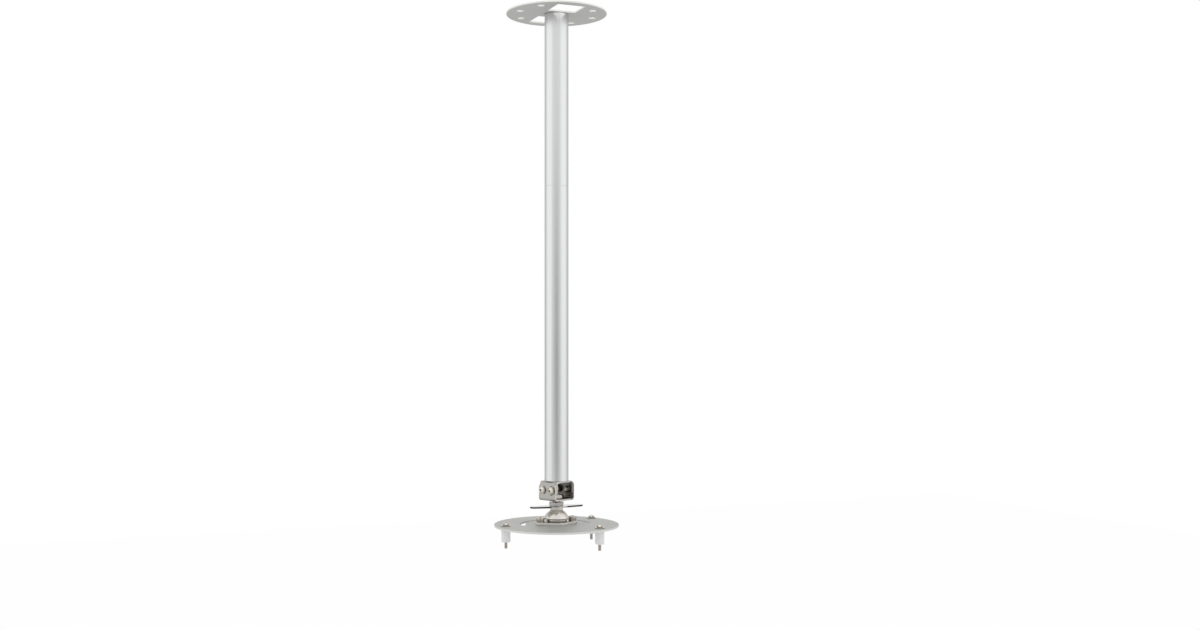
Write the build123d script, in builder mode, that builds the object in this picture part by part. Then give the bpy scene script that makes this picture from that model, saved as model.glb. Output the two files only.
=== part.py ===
"""Ceiling mount: a round ceiling plate, a two-part pole, a tilting bracket and a
ball joint that carries a slotted round plate with three screws and spacers.

The origin is the middle of the ceiling plate's top face, with +Z up, so the
mount hangs below it. The X axis runs along the ball joint's flange.
"""

import os
from math import acos, asin, cos, degrees, radians, sin, sqrt

from build123d import *

os.makedirs("parts", exist_ok=True)

# Ceiling plate: six screw holes and two cable windows share eight equal steps
ceiling_diameter = 125.0
ceiling_thickness = 2.0
ceiling_edge = 0.4
ceiling_hole_circle = 97.0
ceiling_hole = 8.5
window_radial = 34.0
window_across = 36.0
window_corner = 1.5
window_gap = 0.5

# Pole: two butted tubes, a joining sleeve inside and a plug at each end
pole_diameter = 30.0
pole_wall = 2.0
upper_tube_length = 214.0
lower_tube_length = 366.0
tube_top_round = 0.8
tube_seam_chamfer = 0.3
plug_height = 24.0
sleeve_length = 100.0
sleeve_wall = 3.0
plug_fit = 0.1

# Screws that hold the plugs to the ceiling plate and to the bracket
plug_screw = 5.0
plug_screw_spacing = 14.0
plug_screw_depth = 14.0
countersink_sink = 0.1
foot_head = 9.5
foot_head_height = 2.8
foot_head_band = 0.8
foot_socket = 3.0
foot_socket_depth = 1.6
grub_screw = 5.0
grub_length = 6.0
grub_recess = 0.3
grub_socket = 2.5
grub_socket_depth = 2.5
thread_fit = 0.05
screw_hole_fit = 0.25

# Tilt bracket: two folded sheet yokes, one inside the other, turned on the pole
bracket_turn = 25.0
sheet = 2.0
fold_radius = 1.5
ear_length = 28.0
upper_yoke_width = 30.0
upper_ear_height = 16.5
upper_ear_round = 2.5
yoke_gap = 0.3
tilt_drop = 11.0
yoke_drop = 13.0
lower_ear_top_gap = 1.4
lower_ear_front_round = 4.0
lower_ear_rear_round = 7.0
lower_ear_foot_round = 1.5

# Tilt screws: the rear pair is the pivot and the front pair locks in arc slots
tilt_range = 12.0
tilt_screw = 5.0
tilt_screw_spacing = 15.0
tilt_screw_tip = 0.4
tilt_head = 9.5
tilt_head_height = 2.8
tilt_head_band = 0.8
tilt_socket = 3.0
tilt_socket_depth = 1.6
tilt_washer = 10.5
tilt_washer_thickness = 1.0
tilt_nut_flats = 8.0
tilt_nut_height = 4.0
tilt_slot_room = 0.3
pivot_fit = 0.05

# Ball joint: stud, nut with its wing lever, cup washer, seat and domed socket
stud_thread = 10.0
stud_neck = 6.5
stud_tip = 1.0
stud_chamfer = 0.8
stud_nut_flats = 16.0
stud_nut_height = 5.0
stud_socket = 6.0
stud_socket_depth = 5.0
ball_flat = 2.0
ball_fit = 0.1
ball_range = 10.0
seat_thickness = 1.6
seat_rim_height = 1.0
neck_room = 0.4
dome_radius = 16.5
dome_sink = 0.6
dome_rim_radius = 15.9
dome_rim_height = 1.0
dome_rim_round = 0.35
base_ring_radius = 13.0
base_ring_wall = 1.6
base_ring_height = 4.1
cup_radius = 8.0
cup_crown = 2.0
cup_flare = 0.4
wing_span = 70.0
wing_thickness = 2.0
wing_hub_radius = 11.0
wing_tip_radius = 6.0
wing_edge = 0.4
wing_nut_flats = 17.0
wing_nut_height = 5.0
wing_nut_room = 2.0

# Flange of the ball joint and its two socket head screws
flange_middle_radius = 18.0
flange_end_radius = 6.0
flange_thickness = 3.0
flange_edge = 0.3
flange_screw = 6.0
flange_screw_spacing = 43.0
flange_screw_tip = 1.5
flange_head = 10.0
flange_head_height = 6.0
flange_head_round = 0.6
flange_socket = 5.0
flange_socket_depth = 3.0
flange_nut_flats = 10.0
flange_nut_height = 5.0
ball_hole_room = 0.2

# Projector plate, its arc slots, and the three screws with their spacers: each
# screw's place is its angle and its distance in from the plate's rim
plate_diameter = 155.0
plate_thickness = 2.5
plate_edge = 0.5
plate_slot_radius = 42.0
plate_slot_width = 7.0
plate_slot_span = 76.0
plate_slot_middles = [36.0, 134.0]
projector_places = [(176.0, 12.0), (-58.3, 12.5), (28.0, 7.3)]
projector_screw = 4.0
projector_shank = 3.2
projector_tip = 8.0
projector_tip_chamfer = 0.5
projector_head = 8.0
projector_head_height = 3.0
projector_head_band = 1.0
projector_washer = 12.0
projector_washer_thickness = 1.0
spacer_diameter = 11.2
spacer_length = 17.0
spacer_edge = 0.5

# Heights, from the ceiling downwards
plate_under = -ceiling_thickness
seam = plate_under - upper_tube_length
pole_end = seam - lower_tube_length
tilt_height = pole_end - tilt_drop
web_under = tilt_height - yoke_drop
web_top = web_under + sheet
wing_nut_top = web_under - wing_nut_room
wing_top = wing_nut_top - wing_nut_height
cup_top = wing_top - wing_thickness
ball_height = cup_top - cup_crown - dome_radius
flange_top = ball_height + dome_sink
slot_plate_top = flange_top - flange_thickness
slot_plate_under = slot_plate_top - plate_thickness
spacer_end = slot_plate_under - spacer_length
projector_washer_top = slot_plate_top + projector_washer_thickness

# Radii and lengths that follow from the sizes above
pole_radius = pole_diameter / 2
pole_bore_radius = pole_radius - pole_wall
plug_radius = pole_bore_radius - plug_fit
window_middle = pole_radius + window_gap + window_radial / 2
grub_top = pole_radius - grub_recess
grub_end = grub_top - grub_length
countersink_head = plug_screw + 2 * (ceiling_thickness - countersink_sink)
lower_yoke_width = upper_yoke_width + 2 * (yoke_gap + sheet)
tilt_screw_length = (lower_yoke_width - upper_yoke_width) / 2 + sheet
tilt_screw_length += tilt_washer_thickness + tilt_nut_height + tilt_screw_tip
cavity_radius = base_ring_radius - base_ring_wall
seat_outer = cavity_radius - ball_fit
seat_inner = seat_outer - seat_thickness
ball_radius = seat_inner - ball_fit
cup_inner = dome_radius + ball_fit
stud_bore = stud_thread / 2 + thread_fit
stud_shoulder = sqrt((dome_radius + neck_room) ** 2 - (stud_thread / 2) ** 2)
stud_end = web_top + stud_nut_height + stud_tip - ball_height
ball_hole = cavity_radius + ball_hole_room
flange_screw_length = flange_thickness + plate_thickness + flange_nut_height + flange_screw_tip
projector_screw_length = projector_washer_top - spacer_end + projector_tip

# Planes and directions of the bracket, and the section through the ball joint
across = Vector(cos(radians(bracket_turn)), sin(radians(bracket_turn)), 0)
along = Vector(-sin(radians(bracket_turn)), cos(radians(bracket_turn)), 0)
bracket_front = Plane(origin=(0, 0, tilt_height), x_dir=across, z_dir=-along)
bracket_side = Plane(origin=(0, 0, tilt_height), x_dir=along, z_dir=across)
bracket_top = Plane(origin=(0, 0, pole_end), x_dir=across, z_dir=(0, 0, 1))
pole_foot = Plane(origin=(0, 0, pole_end), x_dir=across, z_dir=(0, 0, -1))
web_plane = Plane(origin=(0, 0, web_top), x_dir=across, z_dir=(0, 0, 1))
ball_section = Plane(origin=(0, 0, ball_height), x_dir=(1, 0, 0), z_dir=(0, -1, 0))


def section_of(seat: Plane) -> Plane:
    """Plane through a screw's axis: X is outwards from it and Y along it."""
    return Plane(origin=seat.origin, x_dir=seat.x_dir, z_dir=-seat.y_dir)


def axis_of(seat: Plane) -> Axis:
    """Axis of a screw that stands on this plane."""
    return Axis(seat.origin, seat.z_dir)


def ear_seats(stations: list[float], distance: float) -> list[Plane]:
    """Planes that face outwards on both ears, at each station along them."""
    seats = []
    for station in stations:
        for side in (1, -1):
            place = along * station + across * (side * distance) + Vector(0, 0, tilt_height)
            seats.append(Plane(origin=place, x_dir=along, z_dir=across * side))
    return seats


def latitude(radius: float, distance: float) -> float:
    """Angle above the ball's middle, at a distance from the axis, on a sphere."""
    return degrees(acos(distance / radius))


def rise(radius: float, height: float) -> float:
    """Angle above the ball's middle, at a height, on a sphere."""
    return degrees(asin(height / radius))


def sphere_arc(radius: float, start: float, end: float) -> CenterArc:
    """Arc of a sphere's section between two angles above the ball's middle."""
    return CenterArc((0, 0), radius, start, end - start)


def neck_reach(radius: float) -> float:
    """Distance from the axis, on a sphere, that clears the neck at full swing."""
    swing = asin(stud_neck / 2 / radius) + sqrt(2) * radians(ball_range)
    return radius * sin(swing) + neck_room


def sphere_shell(radius: float, bottom: float) -> CenterArc:
    """Arc of a sphere's section from a height up to the opening for the neck."""
    return sphere_arc(radius, rise(radius, bottom), latitude(radius, neck_reach(radius)))


def rear_hole(height: float, distance: float) -> Plane:
    """Plane that faces the rear, at a height and a distance from the pole's axis."""
    return Plane(origin=(0, distance, height), x_dir=(1, 0, 0), z_dir=(0, 1, 0))


pivot_station = tilt_screw_spacing / 2
lock_station = -tilt_screw_spacing / 2
top_grub = plate_under - plug_height / 2
sleeve_grubs = [seam + sleeve_length / 4, seam - sleeve_length / 4]
bottom_grub = pole_end + plug_height / 2
tilt_arc = CenterArc((pivot_station, 0), tilt_screw_spacing, 180 - tilt_range, 2 * tilt_range)
projector_points = []
for angle, inset in projector_places:
    reach = plate_diameter / 2 - inset
    projector_points.append((reach * cos(radians(angle)), reach * sin(radians(angle))))
plate_arcs = []
for middle in plate_slot_middles:
    plate_arcs.append(CenterArc((0, 0), plate_slot_radius, middle - plate_slot_span / 2, plate_slot_span))

# Round ceiling plate with two square windows beside the pole
with BuildPart() as ceiling_plate:
    with BuildSketch(Plane.XY.offset(plate_under)):
        Circle(ceiling_diameter / 2)
        for first in (-45, 135):
            with PolarLocations(ceiling_hole_circle / 2, 3, start_angle=first, angular_range=135):
                Circle(ceiling_hole / 2, mode=Mode.SUBTRACT)
        with Locations((0, window_middle), (0, -window_middle)):
            RectangleRounded(window_across, window_radial, window_corner, mode=Mode.SUBTRACT)
    extrude(amount=ceiling_thickness)
    rim = ceiling_plate.edges().filter_by(GeomType.CIRCLE).sort_by(SortBy.RADIUS)[-2:]
    fillet(rim, radius=ceiling_edge)
    with GridLocations(plug_screw_spacing, 0, 2, 1):
        CounterSinkHole(
            radius=plug_screw / 2 + screw_hole_fit,
            counter_sink_radius=countersink_head / 2 + countersink_sink + screw_hole_fit,
            counter_sink_angle=90,
        )

# Countersunk screws, flush with the plate's top face
with BuildPart() as ceiling_screws:
    for place in (-plug_screw_spacing / 2, plug_screw_spacing / 2):
        seat = Plane(origin=(place, 0, -countersink_sink), x_dir=(1, 0, 0), z_dir=(0, 0, 1))
        with BuildSketch(section_of(seat)):
            with BuildLine():
                Polyline(
                    (0, 0),
                    (countersink_head / 2, 0),
                    (plug_screw / 2, (plug_screw - countersink_head) / 2),
                    (plug_screw / 2, countersink_sink - ceiling_thickness - plug_screw_depth),
                    (0, countersink_sink - ceiling_thickness - plug_screw_depth),
                    close=True,
                )
            make_face()
        revolve(axis=axis_of(seat))
        with BuildSketch(seat):
            RegularPolygon(grub_socket / 2, 6, major_radius=False)
        extrude(amount=-grub_socket_depth, mode=Mode.SUBTRACT)

# Upper tube, rounded where it meets the ceiling plate
with BuildPart() as upper_tube:
    with BuildSketch(Plane.XY.offset(plate_under)):
        Circle(pole_radius)
        Circle(pole_bore_radius, mode=Mode.SUBTRACT)
    extrude(amount=-upper_tube_length)
    ends = upper_tube.edges().filter_by(GeomType.CIRCLE).group_by(Axis.Z)
    fillet(ends[-1].sort_by(SortBy.RADIUS)[-1], radius=tube_top_round)
    chamfer(ends[0].sort_by(SortBy.RADIUS)[-1], length=tube_seam_chamfer)
    with Locations(rear_hole(top_grub, pole_radius), rear_hole(sleeve_grubs[0], pole_radius)):
        Hole(grub_screw / 2 + thread_fit, depth=2 * pole_wall)

# Lower tube, which butts on the upper one
with BuildPart() as lower_tube:
    with BuildSketch(Plane.XY.offset(seam)):
        Circle(pole_radius)
        Circle(pole_bore_radius, mode=Mode.SUBTRACT)
    extrude(amount=-lower_tube_length)
    ends = lower_tube.edges().filter_by(GeomType.CIRCLE).group_by(Axis.Z)
    chamfer(ends[-1].sort_by(SortBy.RADIUS)[-1], length=tube_seam_chamfer)
    chamfer(ends[0].sort_by(SortBy.RADIUS)[-1], length=tube_seam_chamfer)
    with Locations(rear_hole(sleeve_grubs[1], pole_radius), rear_hole(bottom_grub, pole_radius)):
        Hole(grub_screw / 2 + thread_fit, depth=2 * pole_wall)

# Sleeve inside the joint of the two tubes
with BuildPart() as joint_sleeve:
    with BuildSketch(Plane.XY.offset(seam)):
        Circle(plug_radius)
        Circle(plug_radius - sleeve_wall, mode=Mode.SUBTRACT)
    extrude(amount=sleeve_length / 2, both=True)
    with Locations(*[rear_hole(height, plug_radius) for height in sleeve_grubs]):
        Hole(grub_screw / 2 + thread_fit, depth=2 * sleeve_wall)

# Turned plug in the pole's top, tapped for the ceiling plate's screws
with BuildPart() as top_plug:
    with BuildSketch(Plane.XY.offset(plate_under)):
        Circle(plug_radius)
    extrude(amount=-plug_height)
    with Locations(Plane.XY.offset(plate_under)):
        with GridLocations(plug_screw_spacing, 0, 2, 1):
            Hole(plug_screw / 2 + thread_fit, depth=plug_screw_depth)
    with Locations(rear_hole(top_grub, plug_radius)):
        Hole(grub_screw / 2 + thread_fit, depth=plug_radius - grub_end)

# The same plug in the pole's foot, turned with the bracket
with BuildPart() as bottom_plug:
    with BuildSketch(bracket_top):
        Circle(plug_radius)
    extrude(amount=plug_height)
    with Locations(pole_foot):
        with GridLocations(plug_screw_spacing, 0, 2, 1):
            Hole(plug_screw / 2 + thread_fit, depth=plug_screw_depth)
    with Locations(rear_hole(bottom_grub, plug_radius)):
        Hole(grub_screw / 2 + thread_fit, depth=plug_radius - grub_end)

# Grub screws along the rear of the pole
with BuildPart() as pole_grub_screws:
    for height in (top_grub, *sleeve_grubs, bottom_grub):
        seat = rear_hole(height, grub_top)
        with BuildSketch(seat):
            Circle(grub_screw / 2)
        extrude(amount=-grub_length)
        with BuildSketch(seat):
            RegularPolygon(grub_socket / 2, 6, major_radius=False)
        extrude(amount=-grub_socket_depth, mode=Mode.SUBTRACT)

# Upper yoke: web under the pole and ears down
with BuildPart() as upper_yoke:
    with BuildSketch(bracket_front):
        with BuildLine():
            FilletPolyline(
                (-upper_yoke_width / 2, tilt_drop - upper_ear_height),
                (-upper_yoke_width / 2, tilt_drop),
                (upper_yoke_width / 2, tilt_drop),
                (upper_yoke_width / 2, tilt_drop - upper_ear_height),
                radius=fold_radius + sheet,
            )
            offset(amount=sheet, side=Side.RIGHT)
        make_face()
    extrude(amount=ear_length / 2, both=True)
    with BuildSketch(bracket_side):
        with BuildLine():
            FilletPolyline(
                (-ear_length / 2, tilt_drop),
                (-ear_length / 2, tilt_drop - upper_ear_height),
                (ear_length / 2, tilt_drop - upper_ear_height),
                (ear_length / 2, tilt_drop),
                radius=upper_ear_round,
            )
            Line((ear_length / 2, tilt_drop), (-ear_length / 2, tilt_drop))
        make_face()
        with Locations((pivot_station, 0), (lock_station, 0)):
            Circle(tilt_screw / 2 + pivot_fit, mode=Mode.SUBTRACT)
    extrude(amount=upper_yoke_width, both=True, mode=Mode.INTERSECT)
    with Locations(bracket_top):
        with GridLocations(plug_screw_spacing, 0, 2, 1):
            Hole(plug_screw / 2 + screw_hole_fit, depth=2 * sheet)

# Button head screws from the upper yoke's web up into the pole's plug
with BuildPart() as foot_screws:
    for place in (-plug_screw_spacing / 2, plug_screw_spacing / 2):
        base = across * place + Vector(0, 0, pole_end - sheet)
        seat = Plane(origin=base, x_dir=across, z_dir=(0, 0, -1))
        with BuildSketch(section_of(seat)):
            with BuildLine():
                dome = TangentArc((0, foot_head_height), (foot_head / 2, foot_head_band), tangent=(1, 0))
                Polyline(
                    dome @ 1,
                    (foot_head / 2, 0),
                    (plug_screw / 2, 0),
                    (plug_screw / 2, -sheet - plug_screw_depth),
                    (0, -sheet - plug_screw_depth),
                    dome @ 0,
                )
            make_face()
        revolve(axis=axis_of(seat))
        with BuildSketch(seat.offset(foot_head_height)):
            RegularPolygon(foot_socket / 2, 6, major_radius=False)
        extrude(amount=-foot_socket_depth, mode=Mode.SUBTRACT)

# Lower yoke: web above the ball joint and ears up, outside the upper yoke's
with BuildPart() as lower_yoke:
    ear_top = tilt_drop - lower_ear_top_gap
    with BuildSketch(bracket_front):
        with BuildLine():
            FilletPolyline(
                (-lower_yoke_width / 2, ear_top),
                (-lower_yoke_width / 2, -yoke_drop),
                (lower_yoke_width / 2, -yoke_drop),
                (lower_yoke_width / 2, ear_top),
                radius=fold_radius + sheet,
            )
            offset(amount=sheet, side=Side.LEFT)
        make_face()
    extrude(amount=ear_length / 2, both=True)
    with BuildSketch(bracket_side):
        with BuildLine():
            FilletPolyline(
                (-ear_length / 2, ear_top),
                (-ear_length / 2, -yoke_drop),
                (ear_length / 2, -yoke_drop),
                (ear_length / 2, ear_top),
                radius=[
                    lower_ear_front_round,
                    lower_ear_foot_round,
                    lower_ear_foot_round,
                    lower_ear_rear_round,
                ],
                close=True,
            )
        make_face()
        with Locations((pivot_station, 0)):
            Circle(tilt_screw / 2 + pivot_fit, mode=Mode.SUBTRACT)
        SlotArc(tilt_arc, tilt_screw + 2 * tilt_slot_room, mode=Mode.SUBTRACT)
    extrude(amount=lower_yoke_width, both=True, mode=Mode.INTERSECT)
    with Locations(web_plane):
        Hole(stud_thread / 2 + screw_hole_fit, depth=2 * sheet)

# Tilt screws: one pair of button heads at the pivot and one at the lock slots
tilt_screws = {}
for name, station in (("tilt_pivot_screws", pivot_station), ("tilt_lock_screws", lock_station)):
    with BuildPart() as pair:
        for seat in ear_seats([station], lower_yoke_width / 2 + tilt_washer_thickness):
            with BuildSketch(section_of(seat)):
                with BuildLine():
                    dome = TangentArc((0, tilt_head_height), (tilt_head / 2, tilt_head_band), tangent=(1, 0))
                    Polyline(
                        dome @ 1,
                        (tilt_head / 2, 0),
                        (tilt_screw / 2, 0),
                        (tilt_screw / 2, -tilt_screw_length),
                        (0, -tilt_screw_length),
                        dome @ 0,
                    )
                make_face()
            revolve(axis=axis_of(seat))
            with BuildSketch(seat.offset(tilt_head_height)):
                RegularPolygon(tilt_socket / 2, 6, major_radius=False)
            extrude(amount=-tilt_socket_depth, mode=Mode.SUBTRACT)
    tilt_screws[name] = pair

# Washers under the four heads
with BuildPart() as tilt_washers:
    for seat in ear_seats([pivot_station, lock_station], lower_yoke_width / 2):
        with BuildSketch(seat):
            Circle(tilt_washer / 2)
            Circle(tilt_screw / 2 + screw_hole_fit, mode=Mode.SUBTRACT)
        extrude(amount=tilt_washer_thickness)

# Nuts on the inside of the upper yoke's ears
with BuildPart() as tilt_nuts:
    for seat in ear_seats([pivot_station, lock_station], upper_yoke_width / 2 - sheet):
        with BuildSketch(seat):
            RegularPolygon(tilt_nut_flats / 2, 6, major_radius=False)
            Circle(tilt_screw / 2 + thread_fit, mode=Mode.SUBTRACT)
        extrude(amount=-tilt_nut_height)

# Ball stud: half ball, neck and thread, with a key socket underneath
with BuildPart() as ball_stud:
    with BuildSketch(ball_section):
        with BuildLine():
            neck_start = latitude(ball_radius, stud_neck / 2)
            ball = sphere_arc(ball_radius, rise(ball_radius, -ball_flat), neck_start)
            Polyline(
                ball @ 1,
                (stud_neck / 2, stud_shoulder),
                (stud_thread / 2, stud_shoulder),
                (stud_thread / 2, stud_end - stud_chamfer),
                (stud_thread / 2 - stud_chamfer, stud_end),
                (0, stud_end),
                (0, -ball_flat),
                ball @ 0,
            )
        make_face()
    revolve(axis=Axis.Z)
    with BuildSketch(Plane.XY.offset(ball_height - ball_flat)):
        RegularPolygon(stud_socket / 2, 6, major_radius=False)
    extrude(amount=stud_socket_depth, mode=Mode.SUBTRACT)

# Nut that holds the stud on the lower yoke's web, with its flats along the ears
with BuildPart() as stud_nut:
    with BuildSketch(web_plane):
        RegularPolygon(stud_nut_flats / 2, 6, major_radius=False, rotation=30)
        Circle(stud_bore, mode=Mode.SUBTRACT)
    extrude(amount=stud_nut_height)

# Flat stamped wing lever, widest round the stud
with BuildPart() as wing_lever:
    with BuildSketch(Plane.XY.offset(cup_top)):
        Circle(wing_hub_radius)
        with Locations((wing_tip_radius - wing_span / 2, 0), (wing_span / 2 - wing_tip_radius, 0)):
            Circle(wing_tip_radius)
        make_hull()
        Circle(stud_bore, mode=Mode.SUBTRACT)
    extrude(amount=wing_thickness)
    outline = wing_lever.faces().sort_by(Axis.Z)[-1].outer_wire().edges()
    chamfer(outline, length=wing_edge)

# Hex nut that the lever turns with
with BuildPart() as wing_nut:
    with BuildSketch(Plane.XY.offset(wing_top)):
        RegularPolygon(wing_nut_flats / 2, 6, major_radius=False)
        Circle(stud_bore, mode=Mode.SUBTRACT)
    extrude(amount=wing_nut_height)

# Cup washer, hollow below to ride on the dome
with BuildPart() as cup_washer:
    with BuildSketch(ball_section):
        with BuildLine():
            bore = stud_bore + thread_fit
            cup_edge = latitude(cup_inner, cup_radius - cup_flare)
            hollow = sphere_arc(cup_inner, cup_edge, latitude(cup_inner, bore))
            Polyline(
                hollow @ 1,
                (bore, cup_top - ball_height),
                (cup_radius, cup_top - ball_height),
                hollow @ 0,
            )
        make_face()
    revolve(axis=Axis.Z)

# Thin seat between the ball and the dome
with BuildPart() as ball_seat:
    with BuildSketch(ball_section):
        with BuildLine():
            inside = sphere_shell(seat_inner, seat_rim_height)
            outside = sphere_shell(seat_outer, seat_rim_height)
            Line(inside @ 0, outside @ 0)
            Line(inside @ 1, outside @ 1)
        make_face()
    revolve(axis=Axis.Z)

# Domed socket with a rim and a narrower base ring
with BuildPart() as ball_socket:
    rim_under = dome_sink + base_ring_height
    rim_top = rim_under + dome_rim_height
    with BuildSketch(ball_section) as socket_profile:
        with BuildLine():
            inside = sphere_shell(cavity_radius, dome_sink)
            outside = sphere_shell(dome_radius, rim_top)
            Line(inside @ 1, outside @ 1)
            Polyline(
                outside @ 0,
                (dome_rim_radius, rim_top),
                (dome_rim_radius, rim_under),
                (base_ring_radius, rim_under),
                (base_ring_radius, dome_sink),
                inside @ 0,
            )
        make_face()
        rim_corners = socket_profile.vertices().group_by(Axis.X)[-1]
        fillet(rim_corners, radius=dome_rim_round)
    revolve(axis=Axis.Z)

# Oval flange below the socket
with BuildPart() as socket_flange:
    with BuildSketch(Plane.XY.offset(slot_plate_top)):
        Circle(flange_middle_radius)
        with GridLocations(flange_screw_spacing, 0, 2, 1):
            Circle(flange_end_radius)
        make_hull()
        Circle(ball_hole, mode=Mode.SUBTRACT)
        with GridLocations(flange_screw_spacing, 0, 2, 1):
            Circle(flange_screw / 2 + screw_hole_fit, mode=Mode.SUBTRACT)
    extrude(amount=flange_thickness)
    outline = socket_flange.faces().sort_by(Axis.Z)[-1].outer_wire().edges()
    chamfer(outline, length=flange_edge)

# Socket head screws through the flange and the projector plate
with BuildPart() as flange_screws:
    with BuildSketch(Plane.XY.offset(flange_top)):
        with GridLocations(flange_screw_spacing, 0, 2, 1):
            Circle(flange_head / 2)
    extrude(amount=flange_head_height)
    head_tops = flange_screws.edges().filter_by(GeomType.CIRCLE).group_by(Axis.Z)[-1]
    fillet(head_tops, radius=flange_head_round)
    with BuildSketch(Plane.XY.offset(flange_top)):
        with GridLocations(flange_screw_spacing, 0, 2, 1):
            Circle(flange_screw / 2)
    extrude(amount=-flange_screw_length)
    with BuildSketch(Plane.XY.offset(flange_top + flange_head_height)):
        with GridLocations(flange_screw_spacing, 0, 2, 1):
            RegularPolygon(flange_socket / 2, 6, major_radius=False)
    extrude(amount=-flange_socket_depth, mode=Mode.SUBTRACT)

# Their nuts, below the projector plate
with BuildPart() as flange_nuts:
    with BuildSketch(Plane.XY.offset(slot_plate_under)):
        with GridLocations(flange_screw_spacing, 0, 2, 1):
            RegularPolygon(flange_nut_flats / 2, 6, major_radius=False)
            Circle(flange_screw / 2 + thread_fit, mode=Mode.SUBTRACT)
    extrude(amount=-flange_nut_height)

# Round projector plate with two arc slots
with BuildPart() as projector_plate:
    with BuildSketch(Plane.XY.offset(slot_plate_under)):
        Circle(plate_diameter / 2)
        Circle(ball_hole, mode=Mode.SUBTRACT)
        with GridLocations(flange_screw_spacing, 0, 2, 1):
            Circle(flange_screw / 2 + screw_hole_fit, mode=Mode.SUBTRACT)
        with Locations(*projector_points):
            Circle(projector_screw / 2 + screw_hole_fit, mode=Mode.SUBTRACT)
        for arc in plate_arcs:
            SlotArc(arc, plate_slot_width, mode=Mode.SUBTRACT)
    extrude(amount=plate_thickness)
    rim = projector_plate.edges().filter_by(GeomType.CIRCLE).sort_by(SortBy.RADIUS)[-2:]
    fillet(rim, radius=plate_edge)

# Pan head screws with a slim shank above the thread
with BuildPart() as projector_screws:
    for x, y in projector_points:
        seat = Plane(origin=(x, y, projector_washer_top), x_dir=(1, 0, 0), z_dir=(0, 0, 1))
        with BuildSketch(section_of(seat)):
            with BuildLine():
                dome = TangentArc(
                    (0, projector_head_height), (projector_head / 2, projector_head_band), tangent=(1, 0)
                )
                Polyline(
                    dome @ 1,
                    (projector_head / 2, 0),
                    (projector_shank / 2, 0),
                    (projector_shank / 2, projector_tip - projector_screw_length),
                    (projector_screw / 2, projector_tip - projector_screw_length),
                    (projector_screw / 2, projector_tip_chamfer - projector_screw_length),
                    (projector_screw / 2 - projector_tip_chamfer, -projector_screw_length),
                    (0, -projector_screw_length),
                    dome @ 0,
                )
            make_face()
        revolve(axis=axis_of(seat))

# Wide washers under their heads
with BuildPart() as projector_washers:
    with BuildSketch(Plane.XY.offset(slot_plate_top)):
        with Locations(*projector_points):
            Circle(projector_washer / 2)
            Circle(projector_screw / 2 + screw_hole_fit, mode=Mode.SUBTRACT)
    extrude(amount=projector_washer_thickness)

# Nylon spacers, pushed over the threads and held on the slimmer shanks
spacers = {}
for number, place in enumerate(projector_points, start=1):
    with BuildPart() as spacer:
        with BuildSketch(Plane.XY.offset(spacer_end)):
            with Locations(place):
                Circle(spacer_diameter / 2)
                Circle(projector_shank / 2 + thread_fit, mode=Mode.SUBTRACT)
        extrude(amount=spacer_length)
        outer = spacer.edges().filter_by(GeomType.CIRCLE).sort_by(SortBy.RADIUS)[-2:]
        chamfer(outer, length=spacer_edge)
    spacers[f"spacer_{number}"] = spacer

pieces = {
    "ceiling_plate": ceiling_plate,
    "ceiling_screws": ceiling_screws,
    "upper_tube": upper_tube,
    "lower_tube": lower_tube,
    "joint_sleeve": joint_sleeve,
    "top_plug": top_plug,
    "bottom_plug": bottom_plug,
    "pole_grub_screws": pole_grub_screws,
    "upper_yoke": upper_yoke,
    "foot_screws": foot_screws,
    "lower_yoke": lower_yoke,
    **tilt_screws,
    "tilt_washers": tilt_washers,
    "tilt_nuts": tilt_nuts,
    "ball_stud": ball_stud,
    "stud_nut": stud_nut,
    "wing_lever": wing_lever,
    "wing_nut": wing_nut,
    "cup_washer": cup_washer,
    "ball_seat": ball_seat,
    "ball_socket": ball_socket,
    "socket_flange": socket_flange,
    "flange_screws": flange_screws,
    "flange_nuts": flange_nuts,
    "projector_plate": projector_plate,
    "projector_screws": projector_screws,
    "projector_washers": projector_washers,
    **spacers,
}
for name, piece in pieces.items():
    piece.part.label = name
    export_step(piece.part, f"parts/{name}.step")
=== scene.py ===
"""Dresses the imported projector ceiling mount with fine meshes, finishes and a studio.

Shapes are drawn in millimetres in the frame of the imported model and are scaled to
metres when they are settled on the body that carries them.
"""

from __future__ import annotations

import logging
import math
from collections.abc import Callable, Sequence
from dataclasses import dataclass, field, replace
from enum import Enum
from functools import cache

import bmesh
import bpy
from bpy.types import ID, ColorRamp, Material, Mesh, Node, NodeSocket, NodeTree, Object, World
from mathutils import Matrix, Vector
from mathutils.geometry import delaunay_2d_cdt

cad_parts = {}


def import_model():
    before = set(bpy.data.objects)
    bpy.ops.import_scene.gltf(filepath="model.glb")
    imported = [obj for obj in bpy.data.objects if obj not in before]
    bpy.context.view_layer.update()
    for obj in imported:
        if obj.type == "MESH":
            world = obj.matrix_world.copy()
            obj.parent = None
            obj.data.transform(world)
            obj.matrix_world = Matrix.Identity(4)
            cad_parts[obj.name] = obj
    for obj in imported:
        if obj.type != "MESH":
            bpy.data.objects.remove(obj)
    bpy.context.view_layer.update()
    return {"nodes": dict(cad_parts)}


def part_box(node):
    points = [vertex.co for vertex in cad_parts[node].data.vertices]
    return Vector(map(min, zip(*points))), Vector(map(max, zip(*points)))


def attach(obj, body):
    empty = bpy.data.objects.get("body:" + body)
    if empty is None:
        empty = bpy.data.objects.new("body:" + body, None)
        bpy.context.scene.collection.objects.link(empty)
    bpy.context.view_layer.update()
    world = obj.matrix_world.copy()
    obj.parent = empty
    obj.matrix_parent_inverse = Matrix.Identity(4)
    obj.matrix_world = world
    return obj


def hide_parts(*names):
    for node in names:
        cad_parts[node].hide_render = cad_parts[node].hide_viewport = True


log = logging.getLogger("ceiling_mount")

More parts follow.
